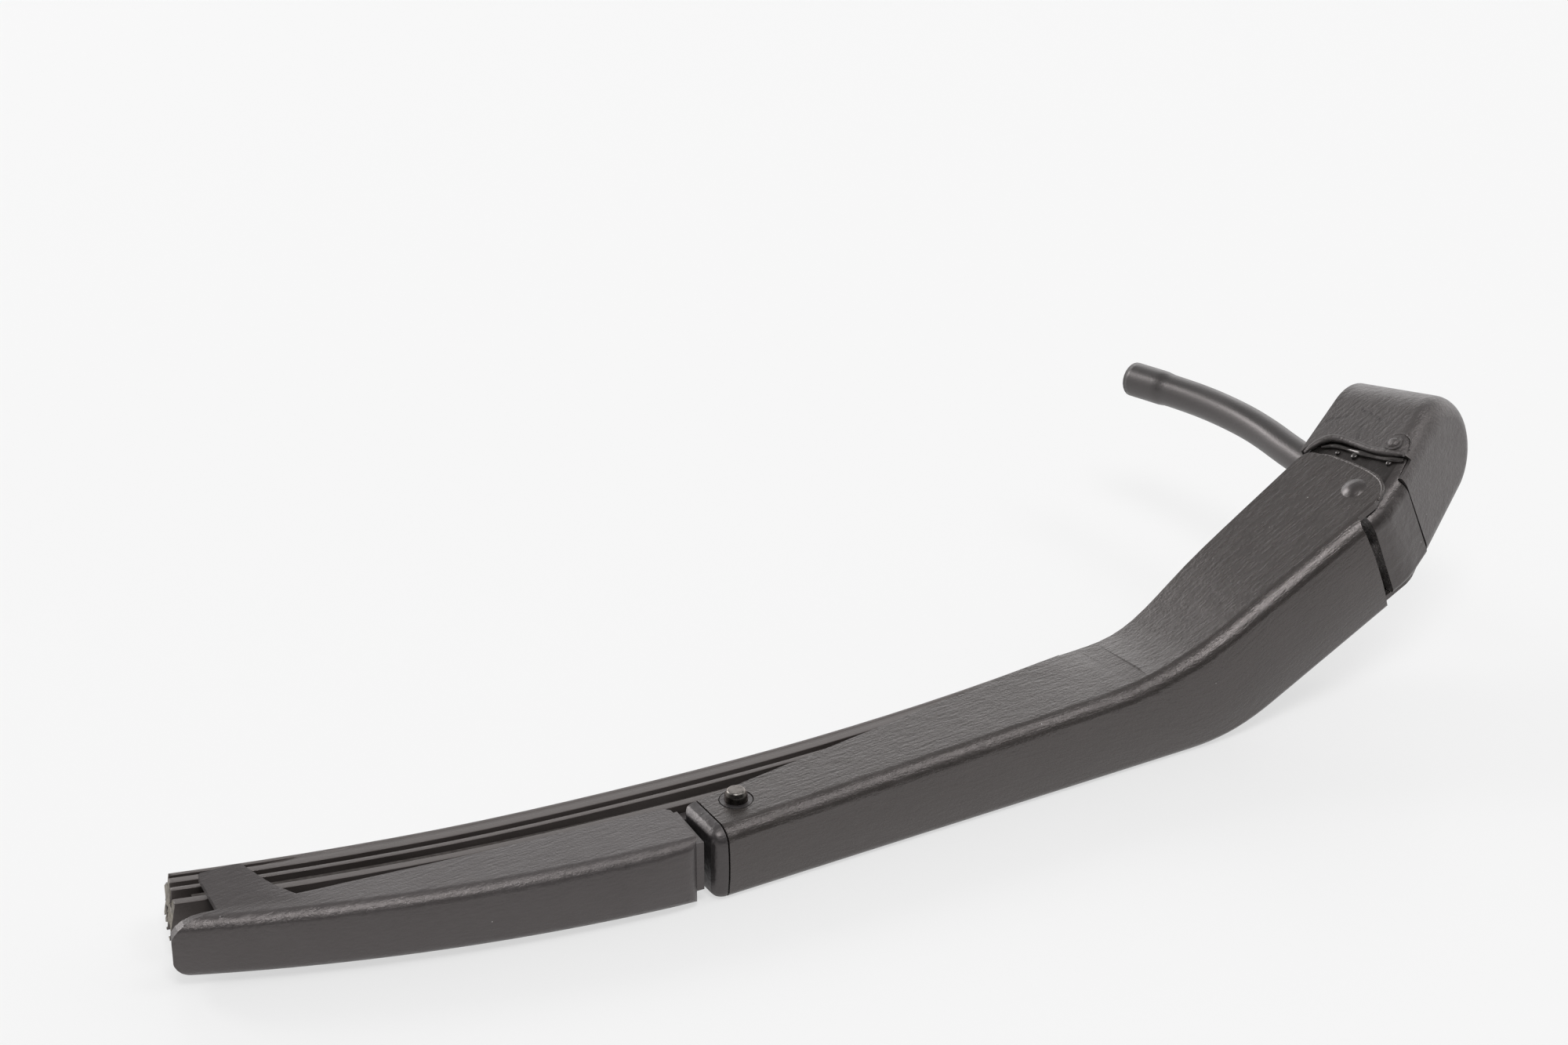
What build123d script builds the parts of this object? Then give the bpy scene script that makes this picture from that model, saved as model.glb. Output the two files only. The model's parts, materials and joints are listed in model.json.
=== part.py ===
"""Headlamp wiper arm with its blade, pivot head and washer hose, in millimetres.

The arm lies on its side, as on a bench: the outer web of the channel faces -Y, the open side that
faces the glass looks along +Y, and the lower cheek rests on the bench. +X runs from the blade to the
pivot head and +Z points up. The origin is where the spindle seats in the head.
"""
import os
from math import asin, cos, degrees, pi, radians, sin, sqrt, tan

from build123d import *

os.makedirs("parts", exist_ok=True)

# Pressed arm channel
sheet = 1.3
tip_width = 16.2
knee_width = 19.6
limb_width = 25.2
limb_angle = 27.5
straight_length = 124.6
knee_low_radius = 45.0
knee_high_radius = 75.0
edge_radius = 3.0
lower_edge_radius = 1.8
tip_depth = 12.6
hinge_end_depth = 28.8
hinge_reach = 53.3
hinge_depth = 9.8
web_setback = 6.5
ear_overhang = 5.5
ear_web_radius = 6.0
ear_web_gap = 2.2
ear_back_radius = 3.0
ear_lean = 7.5
end_slant = 0.1

# Hinge rivet
hinge_pin_radius = 2.3
rivet_head_radius = 2.8
rivet_head_height = 0.8
running_clearance = 0.05
press_clearance = 0.02

# Die-cast pivot head
head_turn = 20.0
head_width = 22.0
spindle_reach = 22.5
seat_depth = 17.0
spindle_radius = 4.0
bore_chamfer = 0.5
nut_seat = 1.0
neck_face = 9.3
neck_corner = 4.3
neck_bend_radius = 15.0
neck_edge_radius = 4.5
neck_lower_radius = 1.6
head_face = 8.6
neck_wall = 6.3
neck_back_corner = (-5.5, 11.0)
neck_back_start = 5.5
cast_cheek = 2.15
rib_low = -0.9
rib_high = 0.2
bay_end = 7.2
bay_mouth = 40.0
spring_pin_radius = 1.6
spring_pin_lever = 9.0

# Clip-on nut cover, as wide as the arm
cover_wall = 1.6
cover_gap = 0.35
cover_reach = 23.6
cover_slope = 6.5
cover_lip = 1.3
tongue_start = 5.6
tongue_face = 8.7
tongue_half = 10.4
tongue_end = 12.2
wedge_drop = 3.9
wedge_foot = 3.0
rim_radius = 5.0
seam_gap = 0.25
seam_top = 2.6
seam_tail = 0.9
seam_route = (
    (tongue_end, seam_top - tongue_face),
    (11.4, -1.6),
    (11.4, 2.9),
    (12.9, 7.3),
    (13.7, 11.9),
    (12.1, 15.1),
    (7.3, seat_depth + seam_tail),
)
nub_reach = 14.0
nub_rise = 2.4
nub_radius = 1.4
nub_height = 1.2
nub_boss_radius = 2.0
nub_boss_height = 0.45

# Blade pin and tip plug
pin_reach = 6.8
pin_depth = 8.9
blade_level = 8.7
pin_radius = 2.35
pin_stand = 2.3
pin_chamfer = 0.55
plug_overhang = 3.2
plug_length = 13.4
plug_gap = 0.1
plug_edge_radius = 1.4
boss_hole_radius = 3.55
boss_radius = 3.35
slot_half = 3.4
slot_floor = 3.6
slot_start = 1.2
notch_depth = 10.2

# Blade carrier
blade_turn = 3.5
bow_radius = 333.0
bow_front = 10.3
bow_end = 12.6
bow_half = 7.2
bow_drop = 7.9
bow_depth_end = 14.3
bow_depth_middle = 11.7
bow_depth_nose = 3.9
bow_edge_radius = 2.4
bow_wall = 1.8
nose_reach = 114.8
nose_length = 10.0
nose_half = 6.2
nose_drop = 6.9
nose_thickness = 1.4
nose_lean = 0.5
nose_radius = 3.0
neck_length = 1.5
neck_inset = 1.7
spine_front = 4.5
spine_back = 7.0
spine_half = 3.0
spine_end = 13.0
lug_radius = 4.4
lug_half = 3.0
inner_bow_end = 86.0
inner_bow_half = 5.2
inner_front_start = -3.6
inner_front_end = 4.8
inner_back_end = 12.6
inner_wall = 1.6
claw_inner_half = 4.75
claw_length = 8.4
claw_foot = 18.5
claw_set = 10.3
claw_root = 1.5
claw_reach = 6.5
claw_lean = 0.6
claw_radius = 2.0
claw_hook_start = 3.0
claw_hook_end = 4.1
claw_hook_half = 2.9
inner_claw_centre = 81.0
inner_claw_half = 5.8

# Wiper rubber and its steel strips
rubber_radius = 530.0
rubber_front = 7.4
rubber_left = 112.0
rubber_right = 92.0
rib_half = 4.5
rail_half = 4.2
rail_depth = 1.8
neck_half = 1.5
second_rib = (4.4, 5.6)
third_rib = (7.2, 8.9)
fin = (9.8, 10.7)
web_half = 2.1
lip_root_half = 1.9
lip_tip_half = 0.35
lip_depth = 14.0
strip_thickness = 0.8
strip_width = 2.4
strip_gap = 0.15

# Spring and its anchor
wire = 1.4
wire_sides = 4
coil_radius = 3.5
coil_turns = 5
coil_length = 19.6
coil_start = -35.0
spring_level = -4.6
hook_clearance = 0.2
hook_bend = 1.2
hook_sweep = 215.0
hook_tail = 5.2
anchor_reach = -43.5
anchor_thickness = 1.5
anchor_foot = 11.0
anchor_lip = 2.6

# Washer line
hose_diameter = 7.5
hose_bore = 4.4
line_level = 4.45
line_depth = 9.0
elbow_reach = 2.8
elbow_radius = 3.3
socket_radius = 2.8
nipple_length = 9.0
hose_start = 12.6
hose_bend_share = 0.45
hose_route = ((2.8, 12.6), (2.8, 27.5), (3.8, 43.0), (2.7, 57.5), (0.3, 71.0), (-2.6, 83.5))
pipe_radius = 2.0
jet_reach = -31.0
jet_length = 9.0
jet_width = 6.4
jet_height = 8.0
jet_nozzle_radius = 1.5
jet_nozzle_length = 3.0
jet_bore_radius = 0.6

# Directions of the hinge limb and of the head, which is turned about the hinge
limb_dir = Vector(cos(radians(limb_angle)), 0, sin(radians(limb_angle)))
limb_up = Vector(-sin(radians(limb_angle)), 0, cos(radians(limb_angle)))
depth_dir = Vector(0, 1, 0)
turn_cos = cos(radians(head_turn))
turn_sin = sin(radians(head_turn))
head_dir = limb_dir * turn_cos + depth_dir * turn_sin
spindle_dir = depth_dir * turn_cos - limb_dir * turn_sin
limb_slant = limb_up + limb_dir * end_slant
head_slant = limb_up + head_dir * end_slant

# Main points: the spindle seat is the origin, the rest follows back along the head and the arm
hinge = (head_dir * spindle_reach + spindle_dir * seat_depth) * -1
knee_low = hinge - limb_dir * hinge_reach - limb_up * (limb_width / 2) - depth_dir * hinge_depth
tip = knee_low - Vector(straight_length, 0, 0)
blade_pivot = tip + Vector(pin_reach, pin_depth, blade_level)

# Planes that the pieces are drawn on
web_plane = Plane(origin=tip, x_dir=(1, 0, 0), z_dir=(0, -1, 0))
plan_plane = Plane(origin=tip, x_dir=(1, 0, 0), z_dir=(0, 0, 1))
end_plane = Plane(origin=tip, x_dir=(0, 1, 0), z_dir=(1, 0, 0))
limb_plane = Plane(origin=hinge, x_dir=limb_dir, z_dir=limb_up)
head_plane = Plane(origin=hinge, x_dir=head_dir, z_dir=limb_up)
spindle_plane = Plane(origin=hinge, x_dir=head_dir, z_dir=spindle_dir)
blade_dir = Vector(cos(radians(blade_turn)), -sin(radians(blade_turn)), 0)
blade_plane = Plane(origin=blade_pivot, x_dir=blade_dir, z_dir=(0, 0, 1))
blade_depth_dir = Vector(sin(radians(blade_turn)), cos(radians(blade_turn)), 0)

# Values that follow from the sizes above
cheek_slope = (hinge_end_depth - tip_depth) / (hinge.X - tip.X)
width_slope = (knee_width - tip_width) / (
    straight_length
    - limb_width * sin(radians(limb_angle))
    - (limb_width * cos(radians(limb_angle)) - knee_width) / tan(radians(limb_angle))
)
through = 200.0


def on_head(along, depth):
    """A point drawn on the limb plane, given on the head plane."""
    return (along * turn_cos + depth * turn_sin, depth * turn_cos - along * turn_sin)


def cover_face(along):
    """Depth of the cover's sloped outer face at a distance along the head."""
    return -tongue_face + tan(radians(cover_slope)) * (along - tongue_start)


def rubber_y(along):
    """Depth of the rubber's front at a distance along the blade."""
    return rubber_front + rubber_radius - sqrt(rubber_radius**2 - along**2)


def bow_y(along):
    """Depth of the bow's outer face at a distance along the blade."""
    return bow_radius - bow_front - sqrt(bow_radius**2 - along**2)


# Arm channel: the cranked web outline, drawn deep, cut to its sloping back edge and shelled
arm_end = hinge_reach + ear_overhang
end_low = Vector(straight_length, 0) + Vector(limb_dir.X, limb_dir.Z) * arm_end
end_high = end_low + Vector(limb_up.X, limb_up.Z) * limb_width
knee_high_x = (tip_width - knee_width) / -width_slope
knee_high = Vector(knee_high_x, knee_width)
with BuildPart() as arm_channel:
    with BuildSketch(web_plane) as web_outline:
        with BuildLine():
            Polyline((0, 0), (straight_length, 0), end_low, end_high, knee_high, (0, tip_width), close=True)
        make_face()
        fillet(web_outline.vertices().sort_by_distance((straight_length, 0))[0], knee_low_radius)
        fillet(web_outline.vertices().sort_by_distance(knee_high)[0], knee_high_radius)
    extrude(amount=-2 * hinge_end_depth)
    with BuildSketch(plan_plane):
        with BuildLine():
            Polyline(
                (-through, tip_depth - cheek_slope * through),
                (2 * through, tip_depth + cheek_slope * 2 * through),
                (2 * through, through),
                (-through, through),
                close=True,
            )
        make_face()
    extrude(amount=through, mode=Mode.SUBTRACT)
    web_edges = arm_channel.faces().sort_by(Axis.Y)[0].edges().sort_by(Axis.X)
    fillet(web_edges[1:-1].sort_by(Axis.Z)[-1], edge_radius)
    web_edges = arm_channel.faces().sort_by(Axis.Y)[0].edges().sort_by(Axis.X)
    fillet(web_edges[1:-1].sort_by(Axis.Z)[0], lower_edge_radius)
    open_faces = [
        arm_channel.faces().sort_by(Axis.X)[0],
        arm_channel.faces().sort_by(Axis.X)[-1],
        arm_channel.faces().sort_by(Axis.Y)[-1],
    ]
    offset(amount=-sheet, openings=open_faces)
    ear_start = ear_web_gap - hinge_depth
    with BuildSketch(limb_plane):
        with Locations((-2 * web_setback, ear_start)):
            Rectangle(through, through, align=(Align.MIN, Align.MIN))
        with BuildLine():
            FilletPolyline(
                (-through, ear_start),
                (ear_overhang, ear_start),
                (ear_overhang - through * tan(radians(ear_lean)), ear_start + through),
                (-through, ear_start + through),
                radius=(0, ear_web_radius, 0, 0),
                close=True,
            )
        make_face(mode=Mode.SUBTRACT)
    extrude(amount=limb_width, both=True, mode=Mode.SUBTRACT)
    with BuildSketch(limb_plane):
        with Locations((-web_setback, ear_start)):
            Rectangle(through, through, align=(Align.MIN, Align.MAX))
    extrude(amount=limb_width, dir=limb_slant, both=True, mode=Mode.SUBTRACT)
    short_edges = arm_channel.edges().filter_by(lambda edge: edge.length < 2 * sheet)
    fillet(short_edges.sort_by(Axis.Y)[-2:], ear_back_radius)
    with BuildSketch(limb_plane):
        Circle(hinge_pin_radius + press_clearance)
    extrude(amount=limb_width, both=True, mode=Mode.SUBTRACT)
    with BuildSketch(plan_plane):
        with Locations((pin_reach, pin_depth)):
            Circle(boss_hole_radius)
    extrude(amount=2 * tip_width, mode=Mode.SUBTRACT)
arm_channel.part.label = "arm_channel"
export_step(arm_channel.part, "parts/arm_channel.step")

# Hinge rivet: a plain shank with a low dome peened over each ear
with BuildPart() as hinge_pin:
    with BuildSketch(Plane(origin=hinge, x_dir=limb_dir, z_dir=depth_dir)):
        with BuildLine():
            dome_top = limb_width / 2 + rivet_head_height
            Polyline((0, 0), (hinge_pin_radius, 0), (hinge_pin_radius, limb_width / 2))
            Line((hinge_pin_radius, limb_width / 2), (rivet_head_radius, limb_width / 2))
            RadiusArc(
                (rivet_head_radius, limb_width / 2),
                (0, dome_top),
                -(rivet_head_radius**2 + rivet_head_height**2) / (2 * rivet_head_height),
            )
            Line((0, dome_top), (0, 0))
        make_face()
    revolve(axis=Axis(hinge, limb_up))
    mirror(about=limb_plane)
hinge_pin.part.label = "hinge_pin"
export_step(hinge_pin.part, "parts/hinge_pin.step")

# Pivot head: a neck with two bays between the ears and a round-ended boss under the cover
cover_half = limb_width / 2
core_half = cover_half - cover_wall - cover_gap
face_drop = cover_wall + cover_gap
neck_end = tongue_start - seam_gap
head_back = seat_depth + bore_chamfer
wedge_end = nub_reach + nub_boss_radius
neck_bend = (head_face - neck_face * turn_cos) / turn_sin
with BuildPart() as pivot_head:
    with BuildSketch(head_plane) as neck_outline:
        with BuildLine():
            Polyline(
                on_head(-web_setback, -neck_face),
                on_head(neck_bend, -neck_face),
                (spindle_reach, -head_face),
                (spindle_reach, head_back),
                (neck_back_start, head_back),
                neck_back_corner,
                close=True,
            )
        make_face()
        bend_point = on_head(neck_bend, -neck_face)
        fillet(neck_outline.vertices().sort_by_distance(bend_point)[0], neck_bend_radius)
        with BuildLine():
            seam_shift = [(along - seam_gap, depth) for along, depth in seam_route]
            Spline(seam_shift)
            Polyline(
                seam_shift[-1],
                (seam_shift[-1][0], through),
                (through, through),
                (through, -through),
                (seam_shift[0][0], -through),
                seam_shift[0],
            )
        make_face(mode=Mode.SUBTRACT)
    extrude(amount=head_width / 2, both=True)
    neck_front = pivot_head.faces().sort_by(Axis(hinge, spindle_dir))[0]
    long_edges = neck_front.edges().filter_by(Axis(hinge, head_dir)).sort_by(Axis(hinge, limb_up))
    fillet(long_edges[-1], neck_edge_radius)
    neck_front = pivot_head.faces().sort_by(Axis(hinge, spindle_dir))[0]
    long_edges = neck_front.edges().filter_by(Axis(hinge, head_dir)).sort_by(Axis(hinge, limb_up))
    fillet(long_edges[0], neck_lower_radius)
    with BuildSketch(head_plane):
        with BuildLine():
            Polyline(
                (neck_end, cover_face(neck_end) + face_drop),
                (through, cover_face(through) + face_drop),
                (through, -through),
                (neck_end, -through),
                close=True,
            )
        make_face()
    extrude(amount=head_width, dir=head_slant, both=True, mode=Mode.SUBTRACT)
    with BuildSketch(limb_plane):
        with Locations((-neck_corner, neck_wall - neck_face)):
            Rectangle(through, through, align=(Align.MAX, Align.MAX))
    extrude(amount=head_width, dir=limb_slant, both=True, mode=Mode.SUBTRACT)
    with BuildSketch(spindle_plane.offset(nut_seat)):
        with Locations((spindle_reach, 0)):
            Rectangle(spindle_reach - tongue_start, 2 * core_half, align=(Align.MAX, Align.CENTER))
            Circle(core_half)
    extrude(amount=head_back - nut_seat)
    with BuildSketch(head_plane):
        with BuildLine():
            Polyline(
                (neck_end, nut_seat + wedge_foot),
                (tongue_end, cover_face(tongue_end) + wedge_drop),
                (wedge_end, cover_face(wedge_end) + wedge_drop),
                (wedge_end, nut_seat + wedge_foot),
                close=True,
            )
        make_face()
    extrude(amount=core_half, both=True)
    for low, high in ((cast_cheek - head_width / 2, rib_low), (rib_high, head_width / 2 - cast_cheek)):
        with BuildSketch(limb_plane.offset(low)):
            with Locations((bay_end, neck_wall - neck_face)):
                Rectangle(bay_mouth, bay_mouth, align=(Align.MAX, Align.MIN))
        extrude(amount=high - low, mode=Mode.SUBTRACT)
    with BuildSketch(head_plane):
        Circle(hinge_pin_radius + running_clearance)
    extrude(amount=head_width, both=True, mode=Mode.SUBTRACT)
    with BuildSketch(head_plane.offset(rib_high)):
        with Locations((0, spring_pin_lever)):
            Circle(spring_pin_radius + press_clearance)
    extrude(amount=-head_width, mode=Mode.SUBTRACT)
    with BuildSketch(spindle_plane):
        with Locations((spindle_reach, 0)):
            Circle(spindle_radius)
    extrude(amount=2 * seat_depth, both=True, mode=Mode.SUBTRACT)
    bore_edges = pivot_head.edges().filter_by(GeomType.CIRCLE)
    chamfer(bore_edges.filter_by(lambda edge: edge.radius == spindle_radius), bore_chamfer)
    with BuildSketch(head_plane):
        with Locations((nub_reach, -nub_rise)):
            Circle(nub_radius)
    extrude(amount=core_half + nub_height, both=True)
pivot_head.part.label = "pivot_head"
export_step(pivot_head.part, "parts/pivot_head.step")

# Spring pin: pressed through the lower cast cheek and the middle rib
with BuildPart() as spring_pin:
    with BuildSketch(head_plane.offset(rib_high)):
        with Locations((0, spring_pin_lever)):
            Circle(spring_pin_radius)
    extrude(amount=-(rib_high + head_width / 2))
spring_pin.part.label = "spring_pin"
export_step(spring_pin.part, "parts/spring_pin.step")

# Nut cover: a round-ended thimble, open to the glass and to the neck, with a tongue over the neck
cover_depth = seat_depth + cover_lip
with BuildPart() as nut_cover:
    with BuildSketch(spindle_plane.offset(-2 * tongue_face)):
        with Locations((cover_reach, 0)):
            Rectangle(cover_reach, 2 * cover_half, align=(Align.MAX, Align.CENTER))
            Circle(cover_half)
    extrude(amount=cover_depth + 2 * tongue_face)
    with BuildSketch(head_plane):
        with BuildLine():
            Polyline(
                (-through, cover_face(-through)),
                (through, cover_face(through)),
                (through, -2 * through),
                (-through, -2 * through),
                close=True,
            )
        make_face()
    extrude(amount=head_width, both=True, mode=Mode.SUBTRACT)
    outer_face = nut_cover.faces().sort_by(Axis((0, 0, 0), spindle_dir))[0]
    rim = outer_face.edges().sort_by(Axis((0, 0, 0), head_dir))[1:]
    fillet(rim, rim_radius)
    cover_open = [
        nut_cover.faces().sort_by(Axis((0, 0, 0), spindle_dir))[-1],
        nut_cover.faces().sort_by(Axis((0, 0, 0), head_dir))[0],
    ]
    offset(amount=-cover_wall, openings=cover_open)
    with BuildSketch(head_plane):
        with BuildLine():
            Spline(seam_route)
            Polyline(
                seam_route[-1],
                (seam_route[-1][0], through),
                (-through, through),
                (-through, cover_face(-through) + cover_wall),
                (tongue_end, cover_face(tongue_end) + cover_wall),
                seam_route[0],
            )
        make_face()
    extrude(amount=head_width, both=True, mode=Mode.SUBTRACT)
    for side in (-1, 1):
        with BuildSketch(head_plane.offset(side * tongue_half)):
            with Locations((tongue_end, seam_top - tongue_face)):
                Rectangle(through, through, align=(Align.MAX, Align.MAX))
        extrude(amount=side * head_width, mode=Mode.SUBTRACT)
    with BuildSketch(head_plane):
        with Locations((tongue_start, 0)):
            Rectangle(through, through, align=(Align.MAX, Align.CENTER))
    extrude(amount=head_width, dir=head_slant, both=True, mode=Mode.SUBTRACT)
    with BuildSketch(head_plane.offset(cover_half - cover_wall)):
        with Locations((nub_reach, -nub_rise)):
            Circle(nub_boss_radius)
    extrude(amount=cover_wall + nub_boss_height)
    with BuildSketch(head_plane.offset(cover_wall - cover_half)):
        with Locations((nub_reach, -nub_rise)):
            Circle(nub_boss_radius)
    extrude(amount=-cover_wall - nub_boss_height)
    with BuildSketch(head_plane):
        with Locations((nub_reach, -nub_rise)):
            Circle(nub_radius + cover_gap / 2)
    extrude(amount=core_half + nub_height + cover_gap, both=True, mode=Mode.SUBTRACT)
nut_cover.part.label = "nut_cover"
export_step(nut_cover.part, "parts/nut_cover.step")

# Tip plug: closes the channel's end, its bosses fill the pin holes and a slot takes the blade's lug
pin_width = tip_width + width_slope * pin_reach
plug_inner = sheet + plug_gap
with BuildPart() as tip_plug:
    with BuildSketch(web_plane.offset(-plug_inner)):
        with BuildLine():
            Polyline(
                (-plug_overhang, plug_inner),
                (plug_length, plug_inner),
                (plug_length, tip_width + width_slope * plug_length - plug_inner),
                (-plug_overhang, tip_width - width_slope * plug_overhang - plug_inner),
                close=True,
            )
        make_face()
    extrude(amount=-(tip_depth - plug_inner - plug_gap))
    plug_edges = tip_plug.faces().sort_by(Axis.Y)[0].edges().sort_by(Axis.Z)
    fillet((plug_edges[0], plug_edges[-1]), edge_radius - sheet)
    with BuildSketch(end_plane.offset(-plug_gap)) as plug_end:
        Rectangle(tip_depth, tip_width, align=(Align.MIN, Align.MIN))
        fillet(plug_end.vertices().sort_by_distance((0, tip_width))[0], edge_radius)
        fillet(plug_end.vertices().sort_by_distance((0, 0))[0], lower_edge_radius)
    extrude(amount=plug_gap - plug_overhang)
    fillet(tip_plug.faces().sort_by(Axis.X)[0].edges(), plug_edge_radius)
    with BuildSketch(plan_plane):
        with Locations((pin_reach, pin_depth)):
            Circle(boss_radius)
    extrude(amount=pin_width)
    with BuildSketch(plan_plane.offset(blade_level - slot_half)):
        with Locations((slot_start, slot_floor)):
            Rectangle(through, through, align=(Align.MIN, Align.MIN))
        with Locations((-through, notch_depth)):
            Rectangle(2 * through, through, align=(Align.MIN, Align.MIN))
    extrude(amount=2 * slot_half, mode=Mode.SUBTRACT)
    with BuildSketch(plan_plane):
        with Locations((pin_reach, pin_depth)):
            Circle(pin_radius + press_clearance)
    extrude(amount=2 * tip_width, mode=Mode.SUBTRACT)
tip_plug.part.label = "tip_plug"
export_step(tip_plug.part, "parts/tip_plug.step")

# Blade pin: flush below, standing proud of the upper cheek with a chamfered top
with BuildPart() as blade_pin:
    with BuildSketch(plan_plane.offset(plug_gap)):
        with Locations((pin_reach, pin_depth)):
            Circle(pin_radius)
    extrude(amount=pin_width + pin_stand - plug_gap)
    chamfer(blade_pin.faces().sort_by(Axis.Z)[-1].edges(), pin_stand / 2, pin_chamfer)
blade_pin.part.label = "blade_pin"
export_step(blade_pin.part, "parts/blade_pin.step")


def ring_sector(plane, low, high, start, end):
    """A strip that follows the rubber's curve, between two depths and two distances along it."""
    centre = (0, rubber_front + rubber_radius)
    first = degrees(asin(start / rubber_radius)) - 90
    last = degrees(asin(end / rubber_radius)) - 90
    with BuildSketch(plane) as sector:
        with BuildLine():
            outer = CenterArc(centre, rubber_radius - low, first, last - first)
            inner = CenterArc(centre, rubber_radius - high, first, last - first)
            Line(outer @ 0, inner @ 0)
            Line(outer @ 1, inner @ 1)
        make_face()
    return sector.sketch


# Hollow of the bow: follows the outer face one wall inside and is open at the back
side_plane = Plane(origin=blade_pivot, x_dir=blade_dir, z_dir=blade_depth_dir * -1)
bow_centre = (0, bow_radius - bow_front)
pocket_start = degrees(asin((nose_reach - nose_length + bow_wall) / (bow_radius - bow_wall)))
pocket_end = degrees(asin((bow_end + bow_wall) / (bow_radius - bow_wall)))
with BuildPart() as bow_pocket:
    with BuildSketch(blade_plane.offset(-tip_width)):
        with BuildLine():
            inside = CenterArc(
                bow_centre, bow_radius - bow_wall, -90 - pocket_start, pocket_start - pocket_end
            )
            Polyline(inside @ 0, ((inside @ 0).X, through), ((inside @ 1).X, through), inside @ 1)
        make_face()
    extrude(amount=2 * tip_width)
    with BuildSketch(side_plane):
        with BuildLine():
            Polyline(
                (-bow_end, bow_half - bow_wall),
                (-nose_reach, nose_half - bow_wall),
                (-nose_reach, bow_wall - nose_drop),
                (-bow_end, bow_wall - bow_drop),
                close=True,
            )
        make_face()
    extrude(amount=2 * through, both=True, mode=Mode.INTERSECT)

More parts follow.
